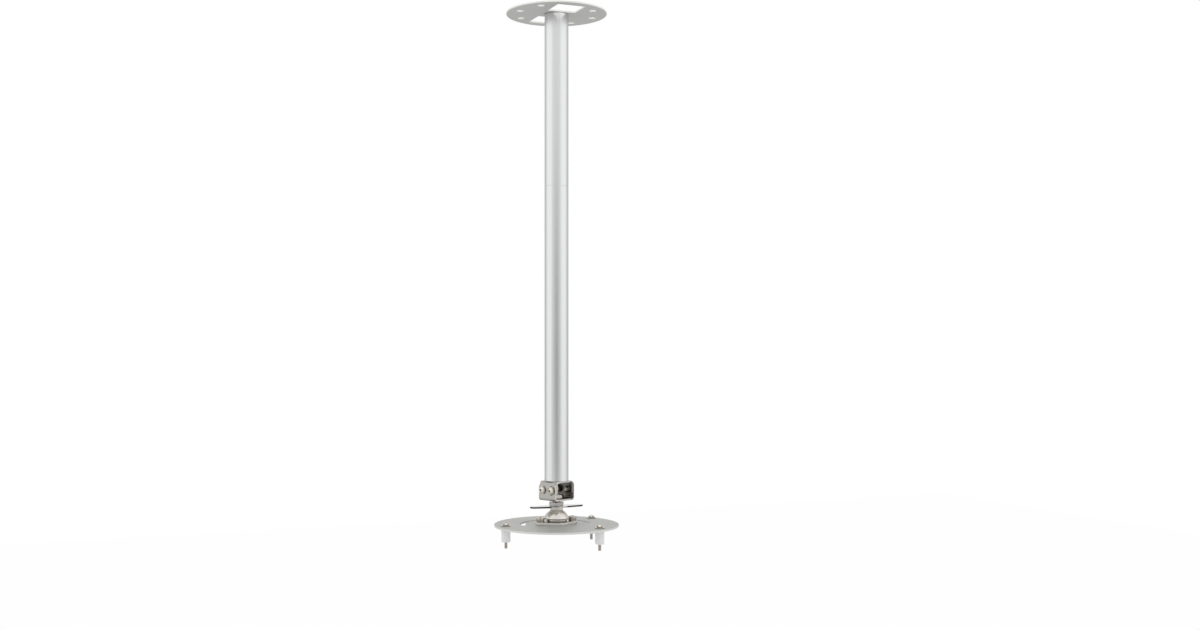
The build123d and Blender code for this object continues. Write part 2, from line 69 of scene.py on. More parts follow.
MM = 0.001
SMOOTH_LIMIT = math.radians(35)
MERGE_REACH = 1e-5
FILL_REACH = 1e-6
CORNER_NUDGE = 1e-9
EASE_STEPS = (0, 30, 60, 90)
SHEET_EASE = 0.35
HOLE_EASE = 0.2
CLOSE_FIT = 0.05
LOOSE_FIT = 0.25
NUT_FIT = 0.1

Point = tuple[float, float]
Triple = tuple[float, float, float]
Loop = list[Point]
Stops = tuple[Point, ...]
Extent = float | Callable[[float], float]
Ring = tuple[Extent, Extent]

UP: Triple = (0.0, 0.0, 1.0)
FINE_GRAIN: Triple = (0.35, 0.35, 0.35)
BRACKET_ACROSS: Triple = (0.906, 0.423, 0.0)
BRACKET_ALONG: Triple = (-0.423, 0.906, 0.0)
BUMP_STRENGTH = 0.6


class Body(Enum):
    """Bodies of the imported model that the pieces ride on."""

    POLE = "pole"
    BRACKET = "bracket"
    LOCK = "lock"
    SWIVEL = "swivel"
    PROJECTOR = "projector_side"


class Slot(Enum):
    """Material slots of the record."""

    POLE = "pole"
    PLATES = "plates"
    BRACKET = "bracket"
    NICKEL = "nickel"
    LEVER = "lever"
    SCREWS = "screws"
    DARK_STEEL = "dark_steel"
    NYLON = "nylon"


def operator(operation: str, swapped: bool = False) -> Callable[[Signal, Signal | float], Signal]:
    """Makes an operator that adds one Math node on two values.

    Args:
        operation: The node's operation.
        swapped: Puts the other value first.

    Returns:
        The operator.
    """

    def act(this: Signal, other: Signal | float) -> Signal:
        """The node's result."""
        left, right = (other, this) if swapped else (this, other)
        return this.bench.signal("ShaderNodeMath", {"operation": operation}, {0: left, 1: right})

    return act


class Signal:
    """A node's output that takes part in Python sums."""

    def __init__(self, bench: NodeBench, socket: NodeSocket) -> None:
        """Keeps the socket and the bench that new nodes are added to."""
        self.bench = bench
        self.socket = socket

    __add__ = __radd__ = operator("ADD")
    __sub__ = operator("SUBTRACT")
    __rsub__ = operator("SUBTRACT", swapped=True)
    __mul__ = __rmul__ = operator("MULTIPLY")
    __truediv__ = operator("DIVIDE")
    __rtruediv__ = operator("DIVIDE", swapped=True)


Marks = tuple[Signal, Signal]
Vectors = Signal | Triple


class NodeBench:
    """Adds nodes to one tree."""

    def __init__(self, tree: NodeTree) -> None:
        """Keeps the tree."""
        self.tree = tree

    def node(self, kind: str, settings: dict | None = None, inputs: dict | None = None) -> Node:
        """Adds one node.

        Args:
            kind: The node's type.
            settings: Properties that are set first; "stops" are a ramp's places and greys.
            inputs: Values or signals by the socket's name or number.

        Returns:
            The new node.
        """
        made = self.tree.nodes.new(kind)
        for key, value in (settings or {}).items():
            if key == "stops":
                self._set_stops(made.color_ramp, value)
            else:
                setattr(made, key, value)
        for key, value in (inputs or {}).items():
            if isinstance(value, Signal):
                self.tree.links.new(value.socket, made.inputs[key])
            else:
                made.inputs[key].default_value = value
        return made

    @staticmethod
    def _set_stops(ramp: ColorRamp, stops: Stops | list[Point]) -> None:
        """Gives a ramp its places and greys.

        Args:
            ramp: The ramp.
            stops: Places from 0 to 1, each with its grey.
        """
        while len(ramp.elements) < len(stops):
            ramp.elements.new(1.0)
        for element, (place, grey) in zip(ramp.elements, stops):
            element.position = place
            element.color = (grey, grey, grey, 1.0)

    def signal(
        self, kind: str, settings: dict | None = None, inputs: dict | None = None, output: int | str = 0
    ) -> Signal:
        """Adds a node and returns one of its outputs."""
        return Signal(self, self.node(kind, settings, inputs).outputs[output])


class ShaderBench(NodeBench):
    """Builds the nodes of one material or world."""

    def __init__(self, owner: Material | World) -> None:
        """Starts on the owner's tree, with all its nodes cleared away.

        Args:
            owner: The material or world.
        """
        owner.use_nodes = True
        owner.node_tree.nodes.clear()
        super().__init__(owner.node_tree)

    def place(self) -> Signal:
        """Object coordinates, in metres."""
        return self.signal("ShaderNodeTexCoord", output="Object")

    def normal(self) -> Signal:
        """The surface's normal in object coordinates."""
        return self.signal("ShaderNodeTexCoord", output="Normal")

    def ray(self, kind: str) -> Signal:
        """1 for rays of a kind and 0 for others."""
        return self.signal("ShaderNodeLightPath", output=f"Is {kind} Ray")

    def vector(
        self, operation: str, first: Vectors, second: Vectors = (0, 0, 0), output: str = "Vector"
    ) -> Signal:
        """One Vector Math node on two vectors."""
        return self.signal("ShaderNodeVectorMath", {"operation": operation}, {0: first, 1: second}, output)

    def dot(self, first: Vectors, second: Vectors) -> Signal:
        """Dot product of two vectors."""
        return self.vector("DOT_PRODUCT", first, second, "Value")

    def facing(self, axis: Triple) -> Signal:
        """How far the surface faces along an axis, from -1 to 1."""
        return self.dot(self.normal(), axis)

    def along(self, axis: Triple, unit: float) -> Signal:
        """Distance along an axis, counted in units of a length in millimetres."""
        return self.dot(self.place(), axis) * (1 / (unit * MM))

    def reach(self, unit: float) -> Signal:
        """Distance from the Z axis, counted in units of a length in millimetres."""
        flat = self.vector("MULTIPLY", self.place(), (1, 1, 0))
        return self.vector("LENGTH", flat, output="Value") * (1 / (unit * MM))

    def stretched(self, grain: Triple) -> Signal:
        """Object coordinates counted in grains, with a grain's length along each axis in millimetres."""
        return self.vector("MULTIPLY", self.place(), tuple(1 / (length * MM) for length in grain))

    def noise(self, grain: Triple, detail: float = 2.0) -> Signal:
        """Noise from 0 to 1 with a grain's length along each axis in millimetres."""
        inputs = {"Vector": self.stretched(grain), "Scale": 1.0, "Detail": detail}
        return self.signal("ShaderNodeTexNoise", {"noise_dimensions": "3D"}, inputs)

    def rings(self, width: float) -> Signal:
        """Turning marks round the Z axis, with their width in millimetres."""
        turned = self.signal("ShaderNodeCombineXYZ", inputs={0: self.reach(width), 1: self.along(UP, width)})
        return self.signal("ShaderNodeTexNoise", inputs={"Vector": turned, "Scale": 1.0, "Detail": 3.0})

    def ramp(self, share: Signal, stops: Stops | list[Point]) -> Signal:
        """Grey that follows a value through places and greys."""
        return self.signal("ShaderNodeValToRGB", {"stops": stops}, {"Fac": share})

    def mix(self, share: Signal, *ends: Signal | Sequence[float]) -> Signal:
        """Colour between two others."""
        first, second = (end if isinstance(end, Signal) else (*end, 1.0) for end in ends)
        return self.signal("ShaderNodeMix", {"data_type": "RGBA"}, {0: share, 6: first, 7: second}, 2)


@dataclass(frozen=True)
class Finish:
    """A surface finish: its colour, gloss and the marks of how it was made.

    Fields:
        colour: Mean colour.
        rough: Mean roughness.
        contrast: How far the marks lighten and darken the colour.
        swing: How far the marks change the roughness.
        relief: Depth of the marks in millimetres.
        fixed: Other inputs of the shader.
    """

    name: str
    slot: Slot
    colour: Triple
    rough: float
    contrast: float
    swing: float
    relief: float
    metallic: float = 1.0
    fixed: tuple[tuple[str, float | Triple], ...] = ()

    def marks(self, bench: ShaderBench) -> Marks:
        """Patterns from 0 to 1: one for tone and gloss, one for height."""
        return bench.noise((4, 4, 4)), bench.noise(FINE_GRAIN)

    def make(self) -> Material:
        """Builds the material.

        Returns:
            A material with tone, gloss and relief from the marks.
        """
        material = bpy.data.materials.new(self.name)
        bench = ShaderBench(material)
        tone, height = self.marks(bench)
        dark = [value * (1 - self.contrast) for value in self.colour]
        light = [min(1.0, value * (1 + self.contrast)) for value in self.colour]
        relief = {"Strength": BUMP_STRENGTH, "Distance": self.relief * MM, "Height": height}
        inputs = {
            "Base Color": bench.mix(tone, dark, light),
            "Metallic": self.metallic,
            "Roughness": tone * (2 * self.swing) + (self.rough - self.swing),
            "Normal": bench.signal("ShaderNodeBump", inputs=relief),
            **dict(self.fixed),
        }
        shader = bench.signal("ShaderNodeBsdfPrincipled", inputs=inputs)
        bench.node("ShaderNodeOutputMaterial", inputs={"Surface": shader})
        return material


class DrawnTubeFinish(Finish):
    """Satin anodised tube with fine lines along its length."""

    def marks(self, bench: ShaderBench) -> Marks:
        """Long streaks for tone and finer ones for height.

        Args:
            bench: Bench of the material's nodes.

        Returns:
            Tone and height, from 0 to 1.
        """
        streaks = bench.noise((1.1, 1.1, 260), 3.0)
        cloud = bench.noise((45, 45, 90))
        return streaks * 0.6 + cloud * 0.4, bench.noise((0.35, 0.35, 60), 3.0)


@dataclass(frozen=True)
class SilverCoatFinish(Finish):
    """Sprayed silver coat with a fine flake, a slight peel and painted light on its cut edges.

    Fields:
        painted_cut_light: How much painted light brightens the cut edges.
        painted_cut_light_from: Distance from the axis in millimetres beyond which the edges get it.
    """

    painted_cut_light: float = 0.0
    painted_cut_light_from: float = 1.0

    def marks(self, bench: ShaderBench) -> Marks:
        """Flake with broad clouds and painted light on the cut edges for tone, and peel for height.

        Args:
            bench: Bench of the material's nodes.

        Returns:
            Tone and height, from 0 to 1.
        """
        flake = bench.noise(FINE_GRAIN, 1.0)
        cloud = bench.noise((26, 26, 26))
        upright = bench.facing(UP)
        # Painted light on cut edges, the walls of holes and rims, beyond a distance from the axis.
        edge = bench.ramp(upright * upright, [(0.45, 1.0), (0.8, 0.0)])
        painted_cut_light = bench.ramp(bench.reach(2 * self.painted_cut_light_from), [(0.49, 0.0), (0.5, self.painted_cut_light)])
        return flake * 0.06 + cloud * 0.055 + edge * painted_cut_light + 0.18, bench.noise((0.9, 0.9, 0.9))


@dataclass(frozen=True)
class FoldedZincFinish(Finish):
    """Plated sheet with the mill's grain outside the fold, painted shade inside it, and a painted highlight
    on the sheared edges of one side with painted shade on those of the other.

    Fields:
        heart: Middle of the fold in metres.
    """

    heart: Triple = (0.0, 0.0, -0.593)

    def marks(self, bench: ShaderBench) -> Marks:
        """Painted shade on faces turned towards the fold's heart, painted highlight and shade on the sheared
        edges by side, spangle and grain for tone; grain for height.

        Args:
            bench: Bench of the material's nodes.

        Returns:
            Tone and height, from 0 to 1.
        """
        cells = {"Vector": bench.stretched((3.2, 3.2, 3.2)), "Scale": 1.0}
        spangle = bench.signal("ShaderNodeTexVoronoi", {"feature": "F1"}, cells)
        grain = bench.noise((9, 9, 0.3), 3.0)
        inwards = bench.vector("SUBTRACT", self.heart, bench.place())
        # Painted shade: faces turned towards the fold's heart lose the outside tone and stay dark.
        outside = bench.ramp(bench.dot(bench.normal(), inwards) * 100 + 0.5, [(0.3, 1.0), (0.7, 0.0)])
        sheared = bench.facing(BRACKET_ALONG)
        edge = bench.ramp(sheared * sheared, [(0.6, 0.0), (0.85, 1.0)])
        # Painted highlight on the sheared edges towards minus across, painted shade on those towards plus
        # across.
        side = bench.along(BRACKET_ACROSS, 30) + 0.5
        painted_edge_light_by_side = bench.ramp(side, [(0.0, 1.0), (0.3, 0.6), (0.8, 0.5), (0.92, 0.0)])
        tone = outside * (edge * (painted_edge_light_by_side * 0.75 - 0.35) + 0.48) + spangle * 0.06 + grain * 0.08
        return tone, bench.noise((6, 6, 0.25), 2.0)


class TurnedNickelFinish(Finish):
    """Plated turned metal with fine tool marks round its axis."""

    def marks(self, bench: ShaderBench) -> Marks:
        """Clouds and tool marks for tone, tool marks for height."""
        tool = bench.rings(0.22)
        return tool * 0.5 + bench.noise((7, 7, 7)) * 0.5, tool


class BellNickelFinish(TurnedNickelFinish):
    """Turned nickel, glossier where its wall stands upright, with painted shade and dark reflection on those
    walls.
    """

    def marks(self, bench: ShaderBench) -> Marks:
        """Tool marks with painted shade and dark reflection on the upright walls for tone, tool marks for
        height.
        """
        tone, tool = super().marks(bench)
        # Painted shade and dark reflection: upright walls, under the rim and round the base ring, are held
        # dark.
        return (tone * 0.12 + 0.66) * bench.ramp(bench.facing(UP), [(0.02, 0.05), (0.3, 1.0)]), tool


class StampedChromeFinish(Finish):
    """Bright plated sheet, with painted shade on its sheared edges and painted reflection on the edges round
    its hub.
    """

    def marks(self, bench: ShaderBench) -> Marks:
        """Bright flats, painted shade on the edges and painted reflection on the edges near the hub for tone;
        a fine skin for height.

        Args:
            bench: Bench of the material's nodes.

        Returns:
            Tone and height, from 0 to 1.
        """
        upright, reach = bench.facing(UP), bench.along((1, 0, 0), 20)
        # Painted shade: sheared edges are held dark, where the flats are bright.
        flats = bench.ramp(upright * upright, [(0.7, 0.0), (0.9, 1.0)])
        # Painted reflection: edges near the hub are lifted out of that shade.
        hub = bench.ramp(reach * reach, [(0.22, 1.0), (0.34, 0.0)])
        tone = flats * 0.94 + hub * (1 - flats) * 0.6
        return tone + bench.noise((3, 3, 3)) * 0.06, bench.noise(FINE_GRAIN)


@dataclass(frozen=True)
class CrownedNickelFinish(Finish):
    """Plated fastener, polished on its crown, with a painted highlight on the crown and painted shade round
    its wall.

    Fields:
        axis: Way that the crown faces.
    """

    axis: Triple = UP

    def marks(self, bench: ShaderBench) -> Marks:
        """Painted highlight on the crowns and painted shade on the walls for tone, a fine skin for height.

        Args:
            bench: Bench of the material's nodes.

        Returns:
            Tone and height, from 0 to 1.
        """
        along = bench.facing(self.axis)
        # Painted highlight on faces turned along the axis, painted shade round the walls.
        crown = bench.ramp(along * along, [(0.3, 0.0), (0.66, 1.0)])
        return crown * 0.92 + bench.noise((3, 3, 3)) * 0.08, bench.noise(FINE_GRAIN)


class MouldedNylonFinish(Finish):
    """Milky nylon with a faint flow mottle."""

    def marks(self, bench: ShaderBench) -> Marks:
        """Flow mottle for tone and a fine moulded skin for height."""
        return bench.noise((5, 5, 11)), bench.noise((0.7, 0.7, 0.7))


TUBE = DrawnTubeFinish(
    "satin_anodised_tube", Slot.POLE, (0.79, 0.795, 0.80), rough=0.25, contrast=0.04, swing=0.03, relief=0.008
)
# The projector plate gets painted light on its outer rim only.
PLATE_COAT = SilverCoatFinish(
    "silver_coat",
    Slot.PLATES,
    (0.62, 0.625, 0.595),
    rough=0.49,
    contrast=0.45,
    swing=0.05,
    relief=0.02,
    metallic=0.35,
    painted_cut_light=0.45,
    painted_cut_light_from=70.0,
)
# The ceiling plate gets stronger painted light on every cut edge, its holes included.
CEILING_COAT = replace(PLATE_COAT, name="ceiling_silver_coat", painted_cut_light=0.76, painted_cut_light_from=1.0)
# Its wide contrast carries the painted shade inside the fold and the painted light and shade on the edges.
ZINC = FoldedZincFinish(
    "folded_zinc_sheet",
    Slot.BRACKET,
    (0.455, 0.446, 0.417),
    rough=0.34,
    contrast=0.71,
    swing=-0.03,
    relief=0.01,
)
NICKEL = TurnedNickelFinish(
    "turned_nickel", Slot.NICKEL, (0.79, 0.76, 0.715), rough=0.33, contrast=0.05, swing=0.05, relief=0.008
)
# The bell's wide contrast carries the painted shade on its upright walls.
BELL = BellNickelFinish(
    "bell_nickel", Slot.NICKEL, (0.66, 0.628, 0.585), rough=0.28, contrast=0.5, swing=0.1, relief=0.008
)
FLANGE = replace(NICKEL, name="satin_nickel", colour=(0.74, 0.72, 0.67), rough=0.42, relief=0.01)
# Its wide contrast carries the painted shade on the lever's edges.
LEVER = StampedChromeFinish(
    "stamped_chrome", Slot.LEVER, (0.43, 0.43, 0.42), rough=0.2, contrast=0.93, swing=-0.05, relief=0.006
)
# The next four crowned finishes carry a painted highlight on their crowns and painted shade round their
# walls.
LEVER_NUT = CrownedNickelFinish(
    "chromed_nut", Slot.LEVER, (0.58, 0.565, 0.54), rough=0.18, contrast=0.3, swing=-0.03, relief=0.006
)
CROWNED = CrownedNickelFinish(
    "crowned_nickel", Slot.SCREWS, (0.56, 0.52, 0.47), rough=0.18, contrast=0.46, swing=-0.05, relief=0.006
)
TILT_CROWNED = replace(
    CROWNED, name="tilt_crowned_nickel", colour=(0.47, 0.435, 0.39), contrast=0.72, axis=BRACKET_ACROSS
)
KNURLED = replace(CROWNED, name="knurled_nickel", colour=(0.66, 0.61, 0.55), contrast=0.27)
SCREWS = Finish(
    "bright_nickel", Slot.SCREWS, (0.74, 0.69, 0.63), rough=0.22, contrast=0.06, swing=0.06, relief=0.006
)
# Painted shade: the nuts inside the yoke are coloured near black for the shade that falls there.
SHADE_DARK_NUT = replace(SCREWS, name="dull_nut", colour=(0.16, 0.15, 0.13), rough=0.36, contrast=0.10)
BLACKENED = Finish(
    "blackened_steel",
    Slot.DARK_STEEL,
    (0.06, 0.06, 0.065),
    rough=0.42,
    contrast=0.15,
    swing=0.08,
    relief=0.01,
    metallic=0.8,
)
NYLON = MouldedNylonFinish(
    "natural_nylon",
    Slot.NYLON,
    (0.84, 0.845, 0.855),
    rough=0.42,
    contrast=0.03,
    swing=0.05,
    relief=0.02,
    metallic=0.0,
    fixed=(("Subsurface Weight", 0.35), ("Subsurface Radius", (1.0, 0.95, 0.9)), ("Subsurface Scale", 0.003)),
)


@cache
def material_of(finish: Finish) -> Material:
    """The material of a finish, made once."""
    return finish.make()


def both(place: float) -> Point:
    """A place and the one that mirrors it."""
    return place, -place


def lifted(height: float) -> Matrix:
    """A move up to a height."""
    return Matrix.Translation((0, 0, height))


def arc(radius: float, middle: Point, start: float, end: float, steps: int) -> Loop:
    """Points of an arc, both ends included, with its angles in degrees."""
    turns = [math.radians(start + (end - start) * step / steps) for step in range(steps + 1)]
    return [(middle[0] + radius * math.cos(turn), middle[1] + radius * math.sin(turn)) for turn in turns]


def circle(radius: float, middle: Point = (0, 0), count: int = 48) -> Loop:
    """Closed loop round a point, anticlockwise."""
    return arc(radius, middle, 0, 360, count)[:-1]


def arc_slot(middle: Point, radius: float, width: float, start: float, end: float, steps: int) -> Loop:
    """Loop of a curved slot with round ends.

    Args:
        middle: Centre of the slot's arc.
        radius: Radius of its middle line.
        width: Width of the slot.
        start: Angle of the first round end's centre in degrees.
        end: Angle of the last one's.
        steps: Steps along the arc.

    Returns:
        The loop, anticlockwise.
    """
    first, last = arc(radius, middle, start, end, 1)
    outer = arc(radius + width / 2, middle, start, end, steps)
    inner = arc(radius - width / 2, middle, end, start, steps)
    far_end = arc(width / 2, last, end, end + 180, 12)[1:-1]
    near_end = arc(width / 2, first, start + 180, start + 360, 12)[1:-1]
    return outer + far_end + inner + near_end


def rectangle(across: float, along: float, middle: Point = (0, 0)) -> Loop:
    """Corners of a rectangle round a point, anticlockwise."""
    ways = ((-0.5, -0.5), (0.5, -0.5), (0.5, 0.5), (-0.5, 0.5))
    return [(middle[0] + x * across, middle[1] + y * along) for x, y in ways]


def rounded(corners: Sequence[Point], radii: Sequence[float], steps: int = 8) -> Loop:
    """Loop through corners that are each rounded by their own radius.

    Args:
        corners: The corners, anticlockwise.
        radii: A radius for each corner.
        steps: Steps round each corner.

    Returns:
        The loop, anticlockwise.
    """
    loop: Loop = []
    for index, corner in enumerate(corners):
        here = Vector(corner)
        back = (Vector(corners[index - 1]) - here).normalized()
        ahead = (Vector(corners[(index + 1) % len(corners)]) - here).normalized()
        half = back.angle(ahead) / 2
        radius = radii[index]
        middle = here + (back + ahead).normalized() * (radius / math.sin(half))
        begin = here + back * (radius / math.tan(half)) - middle
        finish = here + ahead * (radius / math.tan(half)) - middle
        sweep = begin.angle_signed(finish)
        for step in range(steps + 1):
            turned = begin.copy()
            turned.rotate(Matrix.Rotation(-sweep * step / steps, 2))
            loop.append(tuple(middle + turned))
    return loop


def winged(hub: float, tip: float, reach: float) -> Loop:
    """Loop round a middle circle and two smaller ones on both sides of it along X.

    Args:
        hub: Radius of the middle circle.
        tip: Radius of the smaller ones.
        reach: Distance from the middle to each of them.

    Returns:
        The loop, anticlockwise.
    """
    lean = math.degrees(math.acos((hub - tip) / reach))
    right = arc(tip, (reach, 0), -lean, lean, 24) + arc(hub, (0, 0), lean, 180 - lean, 24)
    return right + [(-x, -y) for x, y in right]


def hexagon(flats: float, turn: float = 0.0) -> Callable[[float], float]:
    """Outline of a hexagon by angle, from its width over flats and a corner's angle in degrees."""
    sixth = math.pi / 3
    start = math.radians(turn)
    return lambda angle: flats / 2 / math.cos((angle - start + CORNER_NUDGE) % sixth - sixth / 2)


def cross(length: float, width: float) -> Callable[[float], float]:
    """Outline of a cross recess by angle.

    Args:
        length: Length of its arms, from end to end.
        width: Width of its arms.

    Returns:
        Distance from the middle to the edge by angle.
    """

    def outline(angle: float) -> float:
        """Distance from the middle to the cross's edge.

        Args:
            angle: Angle about the middle.

        Returns:
            The distance.
        """
        quarter = angle % (math.pi / 2)
        lean = min(quarter, math.pi / 2 - quarter)
        if math.tan(lean) * length <= width:
            return length / 2 / math.cos(lean)
        return width / 2 / math.sin(lean)

    return outline


@dataclass(frozen=True)
class KeySocket:
    """A hexagonal key socket that opens upwards, or downwards with a depth and lip below 0."""

    flats: float
    mouth: float
    depth: float
    lip: float
    dip: float = 0.2

    def rings(self, height: float) -> list[Ring]:
        """Rings from the middle of its floor to its mouth at a height."""
        key, floor = hexagon(self.flats), height - self.depth
        return [(0, floor - self.dip), (key, floor), (key, height - self.lip), (self.mouth, height)]


def sphere(radius: float, low: float, high: float, steps: int) -> list[Ring]:
    """Rings of a sphere's upper half between two distances from its axis."""
    start, end = (math.degrees(math.acos(reach / radius)) for reach in (low, high))
    return arc(radius, (0, 0), start, end, steps)


def eased(ease: float) -> list[Point]:
    """Inset and drop of the points round an eased edge, from its flat to its wall."""
    turns = [math.radians(step) for step in EASE_STEPS]
    return [(ease * (1 - math.sin(turn)), ease * (1 - math.cos(turn))) for turn in turns]


def edge_rings(radius: float, height: float, ease: Point, side: int) -> list[Ring]:
    """Three rings round an eased edge, from its flat to its wall.

    Args:
        radius: Radius of the wall.
        height: Height of the flat.
        ease: Size of the edge, and the inset of its middle ring.
        side: -1 for a wall below the flat, 1 for a wall above it.

    Returns:
        The rings, from the flat to the wall.
    """
    size, near = ease
    steps = [(size, 0.0), (near, near), (0.0, size)]
    return [(radius - inset, height + side * rise) for inset, rise in steps]


def encloses(loop: Sequence[Vector], point: Vector) -> bool:
    """Whether a closed loop runs round a point.

    Args:
        loop: Points of the loop.
        point: The point.

    Returns:
        True where it does.
    """
    inside = False
    for here, back in zip(loop, [loop[-1], *loop[:-1]]):
        if (here.y > point.y) != (back.y > point.y):
            reach = (back.x - here.x) * (point.y - here.y) / (back.y - here.y) + here.x
            inside ^= point.x < reach
    return inside


def value_at(extent: Extent, angle: float) -> float:
    """A fixed length, or one that follows the angle."""
    return extent(angle) if callable(extent) else extent


@dataclass
class Cut:
    """One loop of a sheet and how its edge is eased or countersunk."""

    points: Loop
    ease: float = 0.25
    flare: float = 0.0

    def moved(self, inset: float, hole: bool) -> Loop:
        """Moves the loop into the sheet.

        Args:
            inset: How far it moves.
            hole: Whether the loop is a hole.

        Returns:
            The moved loop.
        """
        side = -inset if hole else inset
        loop = []
        for index, (x, y) in enumerate(self.points):
            back = self.points[index - 1]
            ahead = self.points[(index + 1) % len(self.points)]
            way = Vector((ahead[0] - back[0], ahead[1] - back[1])).normalized()
            loop.append((x - way.y * side, y + way.x * side))
        return loop

    def wall(self, thickness: float) -> list[Point]:
        """Rows of the edge, from the top to the underside.

        Args:
            thickness: Thickness of the sheet.

        Returns:
            Inset of each row, and its height above the underside.
        """
        edge = eased(self.ease)
        top = [(self.flare, thickness), (0.0, thickness - self.flare)] if self.flare else []
        top = top or [(inset, thickness - drop) for inset, drop in edge]
        return top + edge[::-1]


class Shell:
    """A mesh in the making, in millimetres."""

    def __init__(self) -> None:
        """Starts with no faces, and a mark for those that lie flat."""
        self.mesh = bmesh.new()
        self.mesh.faces.layers.int.new("flat")

    @property
    def flat(self) -> bmesh.types.BMLayerItem:
        """The layer that marks flat faces."""
        return self.mesh.faces.layers.int["flat"]

    def turn(self, rings: Sequence[Ring], sides: int = 48, closed: bool = False) -> Shell:
        """Adds a shell of rings round the Z axis.

        Args:
            rings: Radius and height of each ring; a radius of 0 is a point on the axis.
            sides: Steps round the axis.
            closed: Joins the last ring to the first.

        Returns:
            This shell.
        """
        angles = [2 * math.pi * step / sides for step in range(sides)]
        rows = []
        for radius, height in rings:
            if radius == 0:
                rows.append([self.mesh.verts.new((0, 0, height))])
                continue
            row = []
            for angle in angles:
                reach = value_at(radius, angle)
                point = (reach * math.cos(angle), reach * math.sin(angle), value_at(height, angle))
                row.append(self.mesh.verts.new(point))
            rows.append(row)
        for first, second in zip(rows, rows[1:] + rows[:1] if closed else rows[1:]):
            self._join(first, second)
        return self

    def _join(self, first: list, second: list) -> None:
        """Adds the faces between two rows that run round together, or between a row and a point.

        Args:
            first: Points of a row, or one point.
            second: Points of the next row, or one point.
        """
        count = max(len(first), len(second))
        for step in range(count):
            ahead = (step + 1) % count
            corners = [first[step % len(first)], first[ahead % len(first)]]
            corners += [second[ahead % len(second)], second[step % len(second)]]
            face = self.mesh.faces.new(list(dict.fromkeys(corners)))
            face[self.flat] = len({round(corner.co.z, 6) for corner in corners}) == 1

    def sheet(self, loops: Sequence[Cut], thickness: float, under: float = 0.0) -> Shell:
        """Adds a flat sheet with eased edges.

        Args:
            loops: The outline first, then its holes, all anticlockwise.
            thickness: Thickness of the sheet.
            under: Height of its lower face.

        Returns:
            This shell.
        """
        caps: list[list[list]] = [[], []]
        for index, cut in enumerate(loops):
            rows = [
                [self.mesh.verts.new((*point, under + height)) for point in cut.moved(inset, index > 0)]
                for inset, height in cut.wall(thickness)
            ]
            for first, second in zip(rows, rows[1:]):
                self._join(first, second)
            caps[0].append(rows[0])
            caps[1].append(rows[-1])
        for rows in caps:
            self._cap(rows)
        return self

    def _cap(self, rows: list[list]) -> None:
        """Fills between an outline and its holes.

        Args:
            rows: Points of the outline, then of each hole.
        """
        every = [vertex for row in rows for vertex in row]
        edges, first = [], 0
        for row in rows:
            edges += [(first + step, first + (step + 1) % len(row)) for step in range(len(row))]
            first += len(row)
        filled = delaunay_2d_cdt([vertex.co.xy for vertex in every], edges, [], 0, FILL_REACH)
        loops = [[vertex.co.xy for vertex in row] for row in rows]
        for corners in filled[2]:
            middle = sum((filled[0][corner] for corner in corners), Vector((0, 0))) / 3
            if sum(encloses(loop, middle) for loop in loops) == 1:
                face = self.mesh.faces.new([every[filled[3][corner][0]] for corner in corners])
                face[self.flat] = True

    def slice(self, stations: Sequence[float]) -> Shell:
        """Cuts every face across X, so that it can bend there.

        Args:
            stations: Places of the cuts on the X axis.

        Returns:
            This shell.
        """
        for station in stations:
            geometry = [*self.mesh.verts, *self.mesh.edges, *self.mesh.faces]
            plane = {"plane_co": (station, 0, 0), "plane_no": (1, 0, 0)}
            bmesh.ops.bisect_plane(self.mesh, geom=geometry, dist=MERGE_REACH, **plane)
        return self

    def shape(self, move: Callable[[Vector], Vector]) -> Shell:
        """Moves every point.

        Args:
            move: Gives a point its new place.

        Returns:
            This shell.
        """
        for vertex in self.mesh.verts:
            vertex.co = move(vertex.co)
        return self

    def place(self, matrix: Matrix) -> Shell:
        """Turns and moves the whole shell."""
        bmesh.ops.transform(self.mesh, matrix=matrix, verts=self.mesh.verts)
        return self

    def take(self, other: Mesh) -> Shell:
        """Adds a finished mesh.

        Args:
            other: The mesh; it is used up.

        Returns:
            This shell.
        """
        self.mesh.from_mesh(other)
        bpy.data.meshes.remove(other)
        return self

    def finish(self, name: str) -> Mesh:
        """Ends the shell as a mesh, smooth but for sharp edges and the rims of its flats.

        Args:
            name: Name of the mesh.

        Returns:
            The mesh; the shell is used up.
        """
        bmesh.ops.remove_doubles(self.mesh, verts=self.mesh.verts, dist=MERGE_REACH)
        bmesh.ops.recalc_face_normals(self.mesh, faces=self.mesh.faces)
        flat = self.flat
        for face in self.mesh.faces:
            face.smooth = True
        for edge in self.mesh.edges:
            rim = len({face[flat] for face in edge.link_faces}) > 1
            edge.smooth = not rim and edge.calc_face_angle(0.0) < SMOOTH_LIMIT
        self.mesh.faces.layers.int.remove(flat)
        made = bpy.data.meshes.new(name)
        self.mesh.to_mesh(made)
        self.mesh.free()
        return made


def smooth_by_angle(mesh: Mesh) -> None:
    """Smooths a mesh apart from its sharp edges."""
    mesh.polygons.foreach_set("use_smooth", [True] * len(mesh.polygons))
    mesh.set_sharp_from_angle(angle=SMOOTH_LIMIT)


def add_object(name: str, data: ID) -> Object:
    """Puts an object with this data in the scene.

    Args:
        name: Name of the object.
        data: Its mesh, lamp or lens.

    Returns:
        The object.
    """
    made = bpy.data.objects.new(name, data)
    bpy.context.scene.collection.objects.link(made)
    return made


def evaluated(carrier: Object) -> Mesh:
    """The plain mesh that an object's modifiers make."""
    return bpy.data.meshes.new_from_object(carrier.evaluated_get(bpy.context.evaluated_depsgraph_get()))


